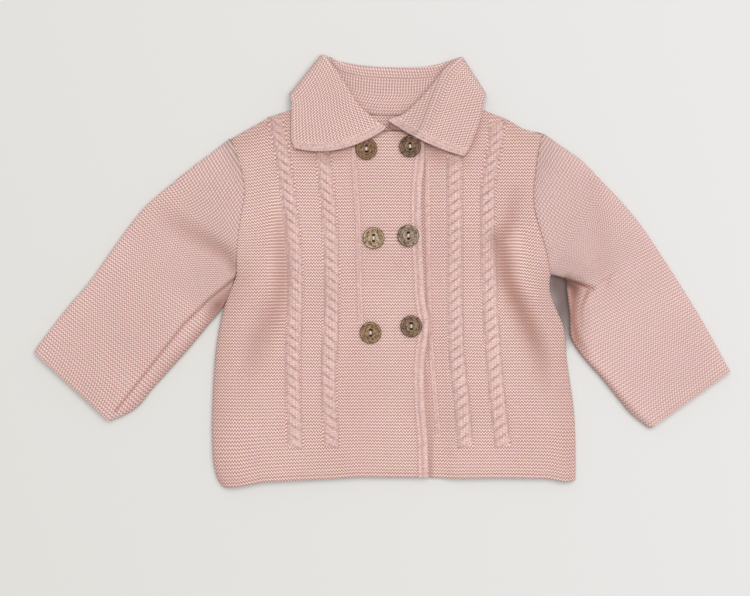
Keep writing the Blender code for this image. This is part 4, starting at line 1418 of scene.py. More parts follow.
@dataclass
class Collar:
    """One strip round the neck, folded along its roll line, with a point at each end."""

    name: str = "collar"
    wall: float = 2.2
    centre: float = 7.1  # height that the strip turns round at the sides of the neck
    stand_reach: float = 2.8
    seam_dip: float = 1.6  # of the stand, down to the back's neckline
    leaf_reach: float = 6.0
    ridges: int = 30
    end_band: float = 8.0  # width of the chain lines along each short end
    spacing: float = 1.7
    soft: float = 0.12  # how far the fluffed yarn hides its ridges
    # Painted shade on the strip in front, where the leaves hang over it
    front_shade: Spot = field(default_factory=lambda: Spot(5.0, 120.0, 13.0, 7.0, 1.2))
    under_leaf: float = 11.0  # height below which the strip is in that shade
    under_fade: float = 1.5
    end_fade: float = 1.5  # how far the chain lines take to turn into ridges
    end_spacing: float = 0.7  # of the stations there
    chain_pitch: float = 2.7
    chain_start: float = 1.2  # of the first line's middle, from the end
    chain_height: float = 0.5
    chain_shade: float = 0.4
    inner_relief: float = 0.6  # of the inner face, as a share of the outer one's
    dip_share: float = 0.3  # how much of the stand dips to the neckline
    settle: float = 1.6  # how far the leaf sinks towards its free edge in front
    # Points down a section on the stand, the roll and the leaf
    stand_points: int = 9
    roll_points: int = 13
    leaf_points: int = 17
    table_points: int = 600
    # A row for each station: the strip's neck edge, its roll line and its free edge, the turn
    # of its leaf about the neck, 90 in front and -90 behind, and how far the leaf sags.
    folds: Array = field(
        default_factory=lambda: np.array(
            [
                (6.0, 116.5, 3.0, 119.5, -73.5, 102.5, 90.0, 9.0),
                (-5.0, 116.0, -4.0, 124.0, -75.5, 110.0, 90.0, 7.0),
                (-16.0, 118.5, -12.5, 131.0, -75.7, 119.5, 90.0, 4.5),
                (-27.0, 123.5, -20.5, 139.0, -75.6, 127.5, 90.0, 2.5),
                (-37.0, 131.0, -30.0, 154.0, -75.4, 134.0, 90.0, 1.0),
                (-42.5, 138.5, -38.5, 166.5, -75.0, 138.5, 90.0, 0.0),
                (-44.5, 143.5, -44.0, 174.0, -74.0, 141.0, 60.0, 0.0),
                (-45.0, 147.0, -46.0, 177.0, -72.0, 143.5, 0.0, 0.0),
                (-42.5, 148.5, -43.0, 177.5, -67.5, 144.5, -60.0, 0.0),
                (-37.5, 141.5, -37.0, 175.0, -56.0, 149.0, -90.0, 0.0),
                (-26.0, 136.0, -24.0, 172.3, -36.0, 143.0, -90.0, 0.0),
                (-8.0, 131.5, -8.0, 170.3, -14.0, 136.5, -90.0, 0.0),
                (6.5, 130.5, 10.0, 169.5, 7.0, 135.0, -90.0, 0.0),
                (22.0, 131.5, 28.0, 169.5, 28.0, 136.5, -90.0, 0.0),
                (38.0, 135.5, 44.0, 171.5, 49.0, 143.0, -90.0, 0.0),
                (50.5, 141.0, 54.5, 174.5, 70.0, 149.0, -90.0, 0.0),
                (56.5, 147.5, 60.5, 176.0, 80.0, 146.0, -60.0, 0.0),
                (58.5, 147.0, 63.0, 175.5, 82.0, 144.5, 0.0, 0.0),
                (57.5, 143.5, 60.5, 173.5, 83.5, 141.5, 60.0, 0.0),
                (55.5, 137.5, 52.5, 167.5, 84.0, 136.0, 90.0, 0.0),
                (48.5, 129.0, 44.0, 156.5, 82.5, 128.5, 90.0, 0.4),
                (38.0, 122.5, 33.0, 144.0, 79.5, 119.0, 90.0, 1.0),
                (26.0, 118.0, 22.0, 133.0, 76.0, 110.0, 90.0, 1.8),
                (15.5, 117.5, 14.0, 128.0, 72.5, 101.5, 90.0, 2.6),
                (6.5, 118.5, 5.0, 125.5, 68.5, 95.5, 90.0, 3.2),
            ],
            float,
        )
    )

    def stations(self) -> Array:
        """Where sections stand in the table of folds, closer together at the short ends."""
        keys = np.arange(len(self.folds), dtype=float)
        fine = np.linspace(0, keys[-1], self.table_points)
        table = smooth_through(self.folds, keys, fine)
        middle = 0.5 * table[:, 2:4] + 0.5 * table[:, 4:6]
        travel = lengths(middle) * 0.5 + lengths(table[:, 2:4]) * 0.5
        end = self.end_band + self.end_fade
        band = np.linspace(0, end, round(end / self.end_spacing) + 1)
        count = round((travel[-1] - 2 * end) / self.spacing) + 1
        between = np.linspace(end, travel[-1] - end, count)
        places = np.concatenate([band, between[1:-1], travel[-1] - band[::-1]])
        return np.interp(places, travel, fine)

    def middle(self) -> Array:
        """Middle of the wall: a row for each station, from the stand to the free edge."""
        keys = np.arange(len(self.folds), dtype=float)
        table = smooth_through(self.folds, keys, self.stations())
        neck, roll, free = table[:, 0:2], table[:, 2:4], table[:, 4:6]
        turn = np.radians(np.clip(table[:, 6], -90, 90))
        leaf = roll - free
        leaf /= np.linalg.norm(leaf, axis=1, keepdims=True)
        outwards = np.stack([-leaf[:, 1], leaf[:, 0]], axis=1)
        outwards *= np.sign(np.sum(outwards * (free - free[len(free) // 2]), axis=1, keepdims=True))
        flat = np.cos(turn)[:, None] * outwards
        away = np.concatenate([flat, np.sin(turn)[:, None]], axis=1)
        apex = roll - neck
        apex = leaf + apex / np.linalg.norm(apex, axis=1, keepdims=True)
        apex /= np.linalg.norm(apex, axis=1, keepdims=True)
        bend = (self.leaf_reach - self.stand_reach) / 2
        shoulder = roll - bend * apex

        def point(plan: Array, reach: Array | float) -> Array:
            """Places at a distance from the middle height, on the leaf's side."""
            at = np.concatenate([plan, np.full((len(plan), 1), self.centre)], axis=1)
            return at + away * reach

        in_front = np.maximum(np.sin(turn), 0)[:, None]
        behind = np.maximum(-np.sin(turn), 0)[:, None]
        strip = []
        for share in np.linspace(0, 1, self.stand_points)[:-1]:
            dip = self.seam_dip * max(1 - share / self.dip_share, 0) ** 2 * behind
            strip.append(point(neck + (shoulder - neck) * share, self.stand_reach + dip))
        for angle in np.linspace(0, math.pi, self.roll_points):
            reach = self.stand_reach + bend * (1 - math.cos(angle))
            strip.append(point(shoulder + bend * math.sin(angle) * apex, reach))
        for share in np.linspace(0, 1, self.leaf_points)[1:]:
            settle = self.leaf_reach - self.settle * ease(share) * in_front
            plan = shoulder + (free - shoulder) * share
            plan[:, 1] -= 4 * share * (1 - share) * table[:, 7]
            strip.append(point(plan, settle))
        strip = np.stack(strip, axis=1)
        count = self.ridges * KNIT.rows_per_ridge + 1
        rows = []
        for section in strip:
            travel = np.insert(np.cumsum(np.linalg.norm(np.diff(section, axis=0), axis=1)), 0, 0)
            at = np.linspace(0, travel[-1], count)
            rows.append(np.stack([np.interp(at, travel, part) for part in section.T], axis=-1))
        return np.array(rows)

    def shell(self) -> Shell:
        """The collar as a knitted wall."""
        middle = self.middle()
        normal = np.cross(np.gradient(middle, axis=1), np.gradient(middle, axis=0))
        normal /= np.maximum(np.linalg.norm(normal, axis=-1, keepdims=True), TINY)
        steps = np.linalg.norm(np.diff(middle, axis=0), axis=-1)
        travel = np.concatenate([np.zeros((1, middle.shape[1])), np.cumsum(steps, axis=0)])
        from_end = np.minimum(travel, travel[-1] - travel)
        index = np.arange(middle.shape[1])
        phase = np.broadcast_to(index * KNIT.row, middle.shape[:2])
        from_free = (middle.shape[1] - 1 - index) * KNIT.row
        band = ease((self.end_band - from_end) / self.end_fade)
        chains = np.cos(math.tau * (from_end - self.chain_start) / self.chain_pitch)
        lift = KNIT.relief * KNIT.ridges(phase) * (1 - band) + self.chain_height * chains * band
        outer = middle + (self.wall / 2 + lift)[..., None] * normal
        inner = middle - (self.wall / 2 + self.inner_relief * lift)[..., None] * normal
        stitch = np.stack([travel, phase], axis=-1)
        edge = np.minimum(from_end, np.broadcast_to(from_free, from_end.shape))
        painted_shade = self.chain_shade * np.maximum(0, -chains) ** 2 * band
        under_leaf = ease((self.under_leaf - middle[..., 2]) / self.under_fade)
        painted_shade = np.maximum(painted_shade, self.front_shade.at(middle[..., 0], middle[..., 1]) * under_leaf)
        sway = np.ones(from_end.shape)
        return Shell(self.name, outer, inner, stitch, band, painted_shade, sway, edge, self.soft)


# ---------------------------------------------------------------------------------------
# Buttons


@dataclass
class Button:
    """A turned two-hole button with a raised rim and a sunk ring, sewn on with white thread."""

    name: str
    height: float = 2.8
    hole_radius: float = 1.25
    hole_spacing: float = 4.9
    hole_margin: float = 1.1  # vertices within this many radii lie in a hole and get painted shade
    turn_steps: int = 64
    drill_sides: int = 20
    drill_depth: float = 4.0  # in heights of the button
    sharp_from: float = 45.0  # degrees
    strands: int = 4
    strand_radius: float = 0.2
    strand_gap: float = 0.4
    strand_sides: int = 8
    strand_points: int = 13
    strand_rest: float = 0.2  # how far beyond a hole's edge a strand goes down
    strand_foot: float = 0.3  # height that it goes down to
    strand_height: float = 1.85  # of a strand at the holes
    strand_arch: float = 0.65  # how much higher it is between them
    middle_lift: float = 0.12  # how much higher the two strands in the middle lie
    bundle: float = 0.6  # how far the strands draw together at the holes
    belly: float = 0.5  # and how far they spread again between them
    # The section from the middle of the face over the rim to the middle of the back: distance
    # from the middle, height, and how much the coating is rubbed there, with painted shade below 0
    # round the rim's outer edge.
    section: Array = field(
        default_factory=lambda: np.array(
            [
                (0.0, 2.05, 0.25), (1.5, 2.08, 0.25), (3.2, 2.18, 0.30), (4.0, 2.28, 0.55),
                (4.35, 2.28, 0.65), (4.65, 2.1, 0.35), (4.85, 1.75, 0.15), (5.4, 1.68, 0.22),
                (6.6, 1.68, 0.22), (7.05, 1.78, 0.2), (7.3, 2.2, 0.4), (7.6, 2.62, 0.7),
                (8.0, 2.8, 0.75), (8.3, 2.72, 0.5), (8.65, 2.45, -0.2), (9.0, 1.9, -0.9),
                (8.85, 1.2, -0.8), (8.4, 0.6, 0.1), (7.6, 0.15, 0.1), (6.5, 0.0, 0.1),
                (0.0, 0.0, 0.1),
            ]
        )
    )

    def seat(self) -> Array:
        """The middle of the button's back, in metres, from its solid."""
        low, high = (np.array(corner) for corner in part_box(self.name))
        return np.array([*(low + high)[:2] / 2, low[2]])

    def build(self) -> bpy.types.Object:
        """The button as an object in place of its solid."""
        bm = bmesh.new()
        verts = [bm.verts.new((r * MM, 0, z * MM)) for r, z, _ in self.section]
        edges = [bm.edges.new(pair) for pair in zip(verts[:-1], verts[1:])]
        bmesh.ops.spin(
            bm,
            geom=verts + edges,
            cent=(0, 0, 0),
            axis=(0, 0, 1),
            angle=math.tau,
            steps=self.turn_steps,
            use_merge=True,
        )
        bmesh.ops.remove_doubles(bm, verts=bm.verts, dist=MERGE)
        bmesh.ops.recalc_face_normals(bm, faces=bm.faces)
        piece = as_object(f"{self.name}_turned", bm)
        self._drill(piece)
        self._rub(piece.data)
        self._place(piece)
        return piece

    def _drill(self, piece: bpy.types.Object) -> None:
        """Cuts the two holes, one above the other.

        Args:
            piece: The button, round its own middle.
        """
        bm = bmesh.new()
        for sign in (-1, 1):
            made = bmesh.ops.create_cone(
                bm,
                cap_ends=True,
                segments=self.drill_sides,
                radius1=self.hole_radius * MM,
                radius2=self.hole_radius * MM,
                depth=self.drill_depth * self.height * MM,
            )
            bmesh.ops.translate(bm, verts=made["verts"], vec=(0, sign * self.hole_spacing / 2 * MM, 0))
        drill = as_object("drill", bm)
        cut = piece.modifiers.new("holes", "BOOLEAN")
        cut.operation = "DIFFERENCE"
        cut.object = drill
        seen = piece.evaluated_get(bpy.context.evaluated_depsgraph_get())
        piece.data = bpy.data.meshes.new_from_object(seen)
        piece.modifiers.clear()
        bpy.data.objects.remove(drill)

    def _rub(self, mesh: bpy.types.Mesh) -> None:
        """Writes how much the coating is rubbed at each vertex, and painted shade below 0 round the
        rim's outer edge and low in the holes.

        Args:
            mesh: The button's mesh, round its own middle.
        """
        face = self.section[: int(np.argmax(self.section[:, 0])) + 1]
        worn = mesh.attributes.new("worn", "FLOAT", "POINT")
        for vert, value in zip(mesh.vertices, worn.data):
            x, y, z = vert.co / MM
            from_hole = math.hypot(x, abs(y) - self.hole_spacing / 2)
            if z > 1:
                value.value = float(np.interp(math.hypot(x, y), face[:, 0], face[:, 2]))
            elif from_hole < self.hole_radius * self.hole_margin:
                value.value = -1.0

    def _place(self, piece: bpy.types.Object) -> None:
        """Moves the mesh to the button's seat and smooths it."""
        bm = bmesh.new()
        bm.from_mesh(piece.data)
        bmesh.ops.translate(bm, verts=bm.verts, vec=self.seat())
        bm.to_mesh(piece.data)
        bm.free()
        piece.data.shade_smooth()
        piece.data.set_sharp_from_angle(angle=math.radians(self.sharp_from))

    def thread(self, finish: bpy.types.Material) -> bpy.types.Object:
        """The strands of thread between the holes.

        Args:
            finish: The thread's material.

        Returns:
            The strands as one object.
        """
        bm = bmesh.new()
        seat = self.seat() / MM
        reach = self.hole_spacing / 2 - self.hole_radius + self.strand_rest
        for index in range(self.strands):
            side = (index - (self.strands - 1) / 2) * self.strand_gap
            lowest = self.strand_height + (self.middle_lift if 0 < index < self.strands - 1 else 0)
            path = []
            for share in np.linspace(0, 1, self.strand_points):
                arch = math.sin(math.pi * share)
                y = -reach + 2 * reach * share
                height = lowest + self.strand_arch * arch**0.5
                path.append((side * (self.bundle + self.belly * arch), y, height))
            start, end = ((self.bundle * x, y, self.strand_foot) for x, y, _ in (path[0], path[-1]))
            self._strand(bm, np.array([start, *path, end]) + seat)
        piece = as_object(f"{self.name}_thread", bm)
        piece.data.materials.append(finish)
        piece.data.shade_smooth()
        return piece

    def _strand(self, bm: bmesh.types.BMesh, path: Array) -> None:
        """Adds a thin round strand to a bmesh.

        Args:
            bm: Where it goes.
            path: The points that it follows.
        """
        radius = self.strand_radius
        circle = {"segments": self.strand_sides, "radius": radius * MM}
        ring = bmesh.ops.create_circle(bm, cap_ends=True, **circle)["verts"]
        heading = np.gradient(path, axis=0)
        side = np.array([1.0, 0.0, 0.0])

        def lay(verts: list[bmesh.types.BMVert], place: int) -> None:
            """Puts a ring of vertices round a point of the path."""
            up = np.cross(heading[place], side)
            up /= np.linalg.norm(up)
            for number, vert in enumerate(verts):
                angle = math.tau * number / len(verts)
                offset = radius * (math.cos(angle) * side + math.sin(angle) * up)
                vert.co = (path[place] + offset) * MM

        lay(ring, 0)
        face = ring[0].link_faces[0]
        for place in range(1, len(path)):
            made = bmesh.ops.extrude_discrete_faces(bm, faces=[face])
            face = made["faces"][0]
            lay(list(face.verts), place)
        bmesh.ops.recalc_face_normals(bm, faces=bm.faces)


# ---------------------------------------------------------------------------------------
# Studio


@dataclass
class Studio:
    """Pale floor, soft light and a camera straight above."""

    view_middle: tuple[float, float] = (-5.8, -22.5)
    view_width: float = 626.25
    camera_height: float = 1.9  # in metres
    sensor: float = 36.0
    floor_size: float = 1.4  # half of the floor's width, in metres
    floor_drop: float = 0.1  # how far below the coat it lies
    sun_from: tuple[float, float, float] = (0.14, 0.18, 1.0)
    sun_spread: float = 0.95  # how soft the light is, in radians
    sun_strength: float = 2.47
    sky: tuple[float, float, float] = (0.98, 0.99, 1.0)
    sky_strength: float = 0.45

    def camera(self) -> None:
        """A camera that looks straight down on the coat."""
        data = bpy.data.cameras.new("camera")
        data.sensor_width = self.sensor
        data.lens = self.sensor * (self.camera_height - KNIT.loft * MM) / (self.view_width * MM)
        camera = bpy.data.objects.new("camera", data)
        camera.location = (self.view_middle[0] * MM, self.view_middle[1] * MM, self.camera_height)
        bpy.context.scene.collection.objects.link(camera)
        bpy.context.scene.camera = camera

    def floor(self) -> None:
        """A wide pale board under the coat."""
        bm = bmesh.new()
        bmesh.ops.create_grid(bm, x_segments=1, y_segments=1, size=self.floor_size)
        bmesh.ops.translate(bm, verts=bm.verts, vec=(0, 0, -self.floor_drop * MM))
        floor = as_object("floor", bm)
        floor.data.materials.append(FloorFinish().material())

    def light(self) -> None:
        """Even soft light from nearly straight above, and a pale sky."""
        data = bpy.data.lights.new("key", "SUN")
        data.angle = self.sun_spread
        data.energy = self.sun_strength
        lamp = bpy.data.objects.new("key", data)
        lamp.rotation_euler = Vector(self.sun_from).to_track_quat("Z", "Y").to_euler()
        bpy.context.scene.collection.objects.link(lamp)
        world = bpy.data.worlds.new("sky")
        world.use_nodes = True
        sky = world.node_tree.nodes["Background"]
        sky.inputs["Color"].default_value = (*self.sky, 1)
        sky.inputs["Strength"].default_value = self.sky_strength
        bpy.context.scene.world = world
        bpy.context.scene.view_settings.view_transform = "Standard"

    def build(self) -> None:
        """Everything round the coat."""
        self.camera()
        self.floor()
        self.light()


# ---------------------------------------------------------------------------------------
# The coat


@dataclass
class Coat:
    """All pieces of the coat and how they lie."""

    body: Body = field(default_factory=Body)
    sleeve_gap: float = 0.1  # between a sleeve's edge and the body's at the armhole
    under_button: tuple[float, float] = (3.6, 3.0)  # half size and strength of the painted shade under one
    button_places: tuple[tuple[float, float], ...] = (
        (-13.0, 102.0), (23.5, 104.0), (-7.0, 27.5), (22.0, 29.5), (-9.5, -51.5), (24.5, -46.0),
    )

    def fronts(self) -> list[Front]:
        """The right front, which lies on top, and the left one, with the shade painted along their
        creases.
        """
        body = self.body
        half, shade = self.under_button
        right = Front(
            "front_right",
            Layer.UPPER,
            np.concatenate([body.side_right, body.armhole_right[1:], body.shoulder_right[1:]]),
            (body.side_right[-1, 1], body.shoulder_right[0, 1]),
            np.concatenate(
                [
                    line(
                        (39.0, -172.5), (38.3, -141.0), (35.5, -104.0), (35.6, -76.0),
                        (38.6, -52.0), (39.0, -42.0), (36.2, -24.0), (34.6, 5.0), (33.0, 45.0),
                        (33.2, 68.0), (35.6, 92.0), (36.0, 116.0),
                    ),
                    line((-12.0, 117.0), (-26.5, 122.0), (-41.0, 133.0), (-48.0, 145.5)),
                ]
            ),
            [
                Cable(
                    line(
                        (-72.5, -146.0), (-74.0, -110.0), (-74.3, -75.0), (-72.3, 0.0),
                        (-77.9, 59.5), (-83.6, 100.0), (-90.0, 131.0),
                    )
                ),
                Cable(
                    line(
                        (-42.0, -146.0), (-44.5, -98.0), (-41.8, -20.0), (-43.5, 35.0),
                        (-47.0, 75.5), (-51.0, 112.0),
                    )
                ),
            ],
            Rib(line((-17.8, -43.0), (-19.2, 0.0), (-20.0, 42.0), (-22.7, 80.0), (-24.0, 106.0))),
            tilt=Slope(-84.0, -121.0, 5.2, 45.0, 110.0, 40.0),
            taut=[Spot(-87.0, 5.0, 9.0, 62.0, 0.75), Spot(7.5, 28.5, 14.0, 6.0, 0.4)],
            creases=[
                Crease(
                    (-85.2, 55.0, 7.0, 0.3, 0.1), (-84.3, 25.9, 8.0, 1.0, 0.5),
                    (-82.7, 0.0, 8.0, 1.4, 0.62), (-86.0, -24.2, 9.0, 1.4, 0.6),
                    (-93.5, -40.9, 11.0, 1.3, 0.55), (-103.5, -57.6, 11.0, 1.1, 0.5),
                    (-108.6, -74.3, 10.0, 0.7, 0.35), (-113.6, -95.0, 9.0, 0.2, 0.1),
                ),
                Crease(
                    (-112.0, 25.0, 12.0, -0.3, 0.0), (-108.0, -20.0, 12.0, -0.9, 0.0),
                    (-118.0, -50.0, 8.0, -0.2, 0.0),
                ),
                *self.collar_shadow(),
            ],
            side_shade=0.4,
            shades=[Spot(*place, half, half, shade) for place in self.button_places],
        )
        left = Front(
            "front_left",
            Layer.LOWER,
            np.concatenate([body.side_left, body.armhole_left[1:], body.shoulder_left[1:]]),
            (body.side_left[-1, 1], body.shoulder_left[0, 1]),
            np.concatenate(
                [
                    line((-27.0, -172.5), (-24.5, 60.0), (-26.0, 116.0)),
                    line((25.0, 117.0), (40.0, 122.0), (55.0, 133.0), (62.0, 145.5)),
                ]
            ),
            [
                Cable(
                    line(
                        (101.0, -146.0), (94.0, -81.0), (91.0, -38.5), (88.5, 47.0), (88.5, 68.5),
                        (95.0, 111.0), (96.5, 129.0),
                    )
                ),
                Cable(
                    line(
                        (69.5, -146.0), (66.0, -102.0), (63.5, -81.0), (61.0, 0.0), (61.0, 26.0),
                        (60.5, 100.0),
                    )
                ),
            ],
            Rib(line((47.0, -137.0), (40.5, -55.0), (37.5, 100.0))),
            tilt=Slope(110.0, 140.0, 4.0, -5.0, 25.0, 30.0),
            taut=[Spot(108.0, 12.0, 11.0, 34.0, 0.7), Spot(120.0, -28.0, 12.0, 20.0, 0.4)],
            creases=[
                Crease(
                    (112.0, 66.0, 6.0, 0.4, 0.25), (107.6, 42.6, 7.5, 1.0, 0.6),
                    (98.0, 24.2, 8.5, 1.6, 0.9), (101.7, 9.2, 8.5, 2.0, 0.95),
                    (104.6, -7.5, 8.5, 2.2, 1.02), (112.7, -24.2, 9.0, 2.3, 1.08),
                    (120.2, -40.9, 9.0, 2.1, 1.02), (127.8, -57.6, 9.0, 1.7, 0.9),
                    (133.6, -74.3, 9.0, 1.0, 0.55), (137.0, -95.0, 8.0, 0.4, 0.2),
                ),
                Crease(
                    (128.0, 30.0, 8.0, -0.3, 0.0), (131.0, 0.0, 9.0, -0.9, 0.0),
                    (139.0, -40.0, 6.0, -0.5, 0.0),
                ),
                Crease(
                    (37.2, 98.0, 1.6, 0.3, 0.4), (34.8, 68.0, 1.6, 0.3, 0.6),
                    (34.6, 45.0, 1.6, 0.3, 0.6), (36.2, 5.0, 1.6, 0.3, 0.45),
                    (37.8, -24.0, 1.6, 0.3, 0.45), (40.6, -45.0, 1.8, 0.3, 0.45),
                    (40.0, -56.0, 1.8, 0.3, 0.5), (37.2, -76.0, 1.6, 0.3, 0.55),
                    (37.2, -104.0, 1.6, 0.3, 0.55), (40.0, -141.0, 1.6, 0.3, 0.75),
                    (40.6, -172.0, 1.6, 0.3, 0.75),
                ),
                *self.collar_shadow(),
            ],
            seam_shade=0.8,
            side_shade=0.25,
        )
        return [right, left]

    @staticmethod
    def collar_shadow() -> list[Crease]:
        """Painted shadow of the collar's leaf on the fronts, close to it and further off."""
        return [
            Crease(
                (8.0, 122.0, 2.2, 0.0, 1.0), (25.0, 112.5, 2.2, 0.0, 1.2),
                (45.0, 104.8, 2.2, 0.0, 1.3), (66.0, 95.0, 2.0, 0.0, 1.0),
            ),
            Crease(
                (12.0, 116.0, 5.0, 0.0, 0.4), (30.0, 108.0, 9.0, 0.0, 0.55),
                (45.0, 101.0, 10.0, 0.0, 0.65), (66.0, 93.0, 7.0, 0.0, 0.4),
            ),
            Crease(
                (68.0, 95.5, 3.0, 0.0, 0.6), (76.0, 109.0, 3.5, 0.0, 0.6),
                (82.5, 127.0, 3.0, 0.0, 0.3),
            ),
            Crease(
                (-2.0, 115.0, 2.0, 0.0, 0.7), (-16.0, 107.5, 2.2, 0.0, 0.9),
                (-36.0, 101.0, 2.2, 0.0, 1.0),
            ),
            Crease(
                (-36.0, 101.0, 2.2, 0.0, 1.0), (-54.0, 99.0, 2.2, 0.0, 0.9),
                (-72.0, 101.0, 2.0, 0.0, 0.5),
            ),
            Crease(
                (-16.0, 104.5, 5.0, 0.0, 0.3), (-36.0, 98.0, 7.0, 0.0, 0.5),
                (-54.0, 96.0, 7.0, 0.0, 0.5), (-70.0, 99.0, 5.0, 0.0, 0.3),
            ),
        ]

    def sleeves(self) -> list[Sleeve]:
        """The two sleeves, each with its own creases and the shade painted along them, as in the dark
        pocket under the left armpit.
        """
        right = Sleeve(
            "sleeve_right",
            line(
                (-127.4, 110.9), (-138.0, 102.5), (-161.5, 85.0), (-175.5, 73.5), (-197.0, 55.0),
                (-225.0, 19.0), (-242.5, -6.0), (-263.5, -31.0), (-291.5, -67.5),
            ),
            self._armhole(self.body.armhole_right, -1, (-127.4, 110.9)),
            line(
                (-121.1, -1.0), (-134.5, -32.5), (-144.0, -43.5), (-161.5, -64.5),
                (-179.0, -84.0), (-193.5, -100.0), (-204.0, -113.0), (-214.5, -120.0),
                (-228.5, -125.5),
            ),
            np.array(
                [
                    (0.0, 0.0), (2.0, 15.0), (4.5, 28.0), (12.0, 47.0), (25.0, 67.0), (40.0, 92.0),
                    (59.0, 112.0), (133.0, 157.0), (195.0, 223.0), (244.0, 275.0),
                ]
            ),
            [
                Crease(
                    (-120.7, -4.2, 1.8, 1.0, 1.4), (-132.8, -14.2, 1.2, 0.9, 1.25),
                    (-145.3, -24.2, 1.0, 0.8, 1.2), (-166.2, -45.0, 1.0, 0.7, 1.1),
                    (-223.0, -117.5, 1.0, 0.6, 1.0),
                ),
                Crease(
                    (-186.0, 50.0, 10.0, 0.4, 0.1), (-168.0, 38.0, 10.0, 0.7, 0.4),
                    (-144.5, 24.2, 8.0, 0.9, 0.62), (-128.0, 13.0, 6.5, 1.0, 0.65),
                    (-122.0, 1.0, 5.0, 1.0, 0.6),
                ),
                Crease((-150.0, -5.0, 12.0, -0.45, 0.0), (-185.0, -38.0, 12.0, -0.3, 0.0)),
                Crease(
                    (-127.0, -17.0, 4.5, 0.3, 0.8), (-136.5, -29.0, 7.0, 0.2, 1.25),
                    (-146.0, -43.0, 5.5, 0.0, 0.6),
                ),
                Crease(
                    (-144.0, -43.5, 6.0, 0.0, 0.75), (-161.5, -64.5, 7.0, 0.0, 0.6),
                    (-193.5, -100.0, 7.0, 0.0, 0.5),
                ),
                Crease((-193.5, -100.0, 7.0, 0.0, 0.5), (-214.5, -120.0, 5.0, 0.0, 0.35)),
                Crease(
                    (-160.0, 10.0, 50.0, 0.0, 0.08), (-225.0, -60.0, 50.0, 0.0, 0.16),
                    (-260.0, -100.0, 50.0, 0.0, 0.16),
                ),
            ],
        )
        left = Sleeve(
            "sleeve_left",
            line(
                (135.3, 115.2), (149.0, 105.5), (166.0, 93.5), (183.0, 76.5), (212.0, 44.5),
                (239.0, 5.0), (266.5, -39.0), (291.5, -84.0),
            ),
            self._armhole(self.body.armhole_left, 1, (135.3, 115.2)),
            line(
                (141.1, -3.0), (147.0, -4.2), (153.0, -6.5), (154.5, -17.0), (156.8, -35.0),
                (158.0, -56.0), (169.5, -73.5), (183.0, -88.5), (196.5, -105.0), (208.5, -119.5),
                (224.5, -132.0),
            ),
            np.array(
                [
                    (0.0, 0.0), (6.0, 20.0), (13.4, 40.0), (21.0, 55.0), (36.5, 80.0),
                    (50.0, 100.0), (66.0, 118.0), (135.0, 146.0), (214.0, 237.0), (256.0, 281.0),
                ]
            ),
            [
                Crease(
                    (153.0, -6.5, 2.2, 1.0, 2.0), (166.0, -11.0, 2.0, 1.0, 1.7),
                    (176.5, -15.0, 1.6, 0.8, 0.8),
                ),
                Crease(
                    (154.5, -17.0, 1.8, 0.0, 1.3), (156.8, -35.0, 1.8, 0.0, 1.4),
                    (158.0, -56.0, 1.8, 0.0, 1.2), (169.0, -73.0, 2.4, 0.0, 0.8),
                ),
                Crease(
                    (169.0, -73.0, 2.4, 0.0, 0.8), (183.0, -88.5, 3.0, 0.0, 0.7),
                    (196.5, -105.0, 3.2, 0.0, 0.7), (223.0, -131.0, 3.0, 0.0, 0.4),
                ),
                Crease(
                    (155.0, -8.5, 4.5, 1.0, 1.9), (161.0, -14.0, 6.5, 1.0, 1.6),
                    (160.5, -24.0, 5.5, 0.9, 1.2), (159.5, -41.0, 4.5, 0.7, 1.2),
                    (163.0, -58.0, 4.5, 0.5, 1.15), (170.0, -70.0, 4.0, 0.2, 0.5),
                ),
                Crease(
                    (172.0, -17.0, 2.0, 0.7, 1.0), (165.5, -32.0, 1.7, 0.6, 0.7),
                    (165.5, -52.0, 1.8, 0.4, 0.4),
                ),
                Crease((160.0, 12.0, 9.0, -0.6, 0.0), (196.0, -10.0, 9.0, -0.4, 0.0)),
                Crease((170.0, -32.0, 4.0, -0.3, 0.25), (170.0, -60.0, 4.0, -0.2, 0.25)),
                Crease((174.0, 68.0, 9.0, 0.45, 0.1), (188.0, -6.0, 9.0, 0.45, 0.1)),
            ],
            soft=0.36,
            ridges=98,
            uneven_seed=393,
        )
        return [right, left]

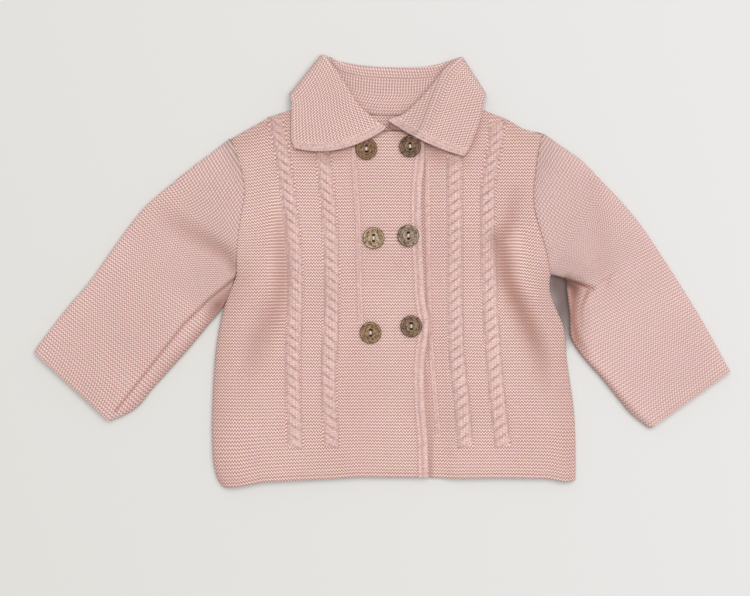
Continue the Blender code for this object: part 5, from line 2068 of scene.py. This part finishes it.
    def _armhole(self, seam: Array, side: int, shoulder: tuple[float, float]) -> Array:
        """A sleeve's own edge at the armhole.

        Args:
            seam: The body's edge there, from the armpit up.
            side: Towards the sleeve, -1 or 1.
            shoulder: Where the sleeve's upper edge starts.

        Returns:
            The edge, from the shoulder down to the armpit.
        """
        beside = seam[-2::-1] + (side * self.sleeve_gap, 0)
        return np.concatenate([[shoulder], beside])

    def dress(self, shell: Shell, finish: bpy.types.Material) -> bpy.types.Object:
        """Builds a knitted piece in place of its solid.

        Args:
            shell: The piece's faces.
            finish: The yarn's material.

        Returns:
            The piece.
        """
        piece = shell.build()
        piece.name = f"{shell.name}_knit"
        piece.data.materials.append(finish)
        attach(piece, "root")
        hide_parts(shell.name)
        LOG.info("%s: %d faces, %.4f m2", piece.name, len(piece.data.polygons), shell.area())
        return piece

    def build(self) -> None:
        """Builds and dresses every piece."""
        yarn = YarnFinish().material()
        right, left = self.fronts()
        sleeve_right, sleeve_left = self.sleeves()
        pieces = {
            "back": (Back().shell(self.body), (0.304, 0.326), []),
            "front_left": (left.shell(self.body), (0.190, 0.326), ["back"]),
            "front_right": (right.shell(self.body), (0.181, 0.326), ["back", "front_left"]),
            "sleeve_right": (sleeve_right.shell(), (0.290, 0.275), []),
            "sleeve_left": (sleeve_left.shell(), (0.290, 0.275), []),
            "collar": (Collar().shell(), (0.330, 0.080), ["back", "front_right", "front_left"]),
        }
        for name, (shell, flat, rests_on) in pieces.items():
            piece = self.dress(shell, yarn)
            area = min(shell.area(), flat[0] * flat[1])
        thread = ThreadFinish().material()
        # Each row's tone; the top row's darkening is partly painted shadow of the collar.
        for height, tone in (
            ("top", (0.60, 0.475, 0.375)),
            ("middle", (1.0, 1.0, 1.0)),
            ("bottom", (0.70, 0.61, 0.50)),
        ):
            for side, metal in (("right", Metal.WARM), ("left", Metal.COOL)):
                button = Button(f"button_{height}_{side}")
                turned = button.build()
                turned.data.materials.clear()
                turned.data.materials.append(ButtonFinish.aged(metal, height, tone).material())
                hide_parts(button.name)
                strands = button.thread(thread)
                for piece in (turned, strands):
                    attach(piece, "root")
                LOG.info("%s: %d faces", turned.name, len(turned.data.polygons))


def main() -> None:
    """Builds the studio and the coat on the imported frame."""
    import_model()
    Studio().build()
    Coat().build()


if __name__ == "__main__":
    logging.basicConfig(level=logging.INFO, format="%(name)s: %(message)s")
    main()
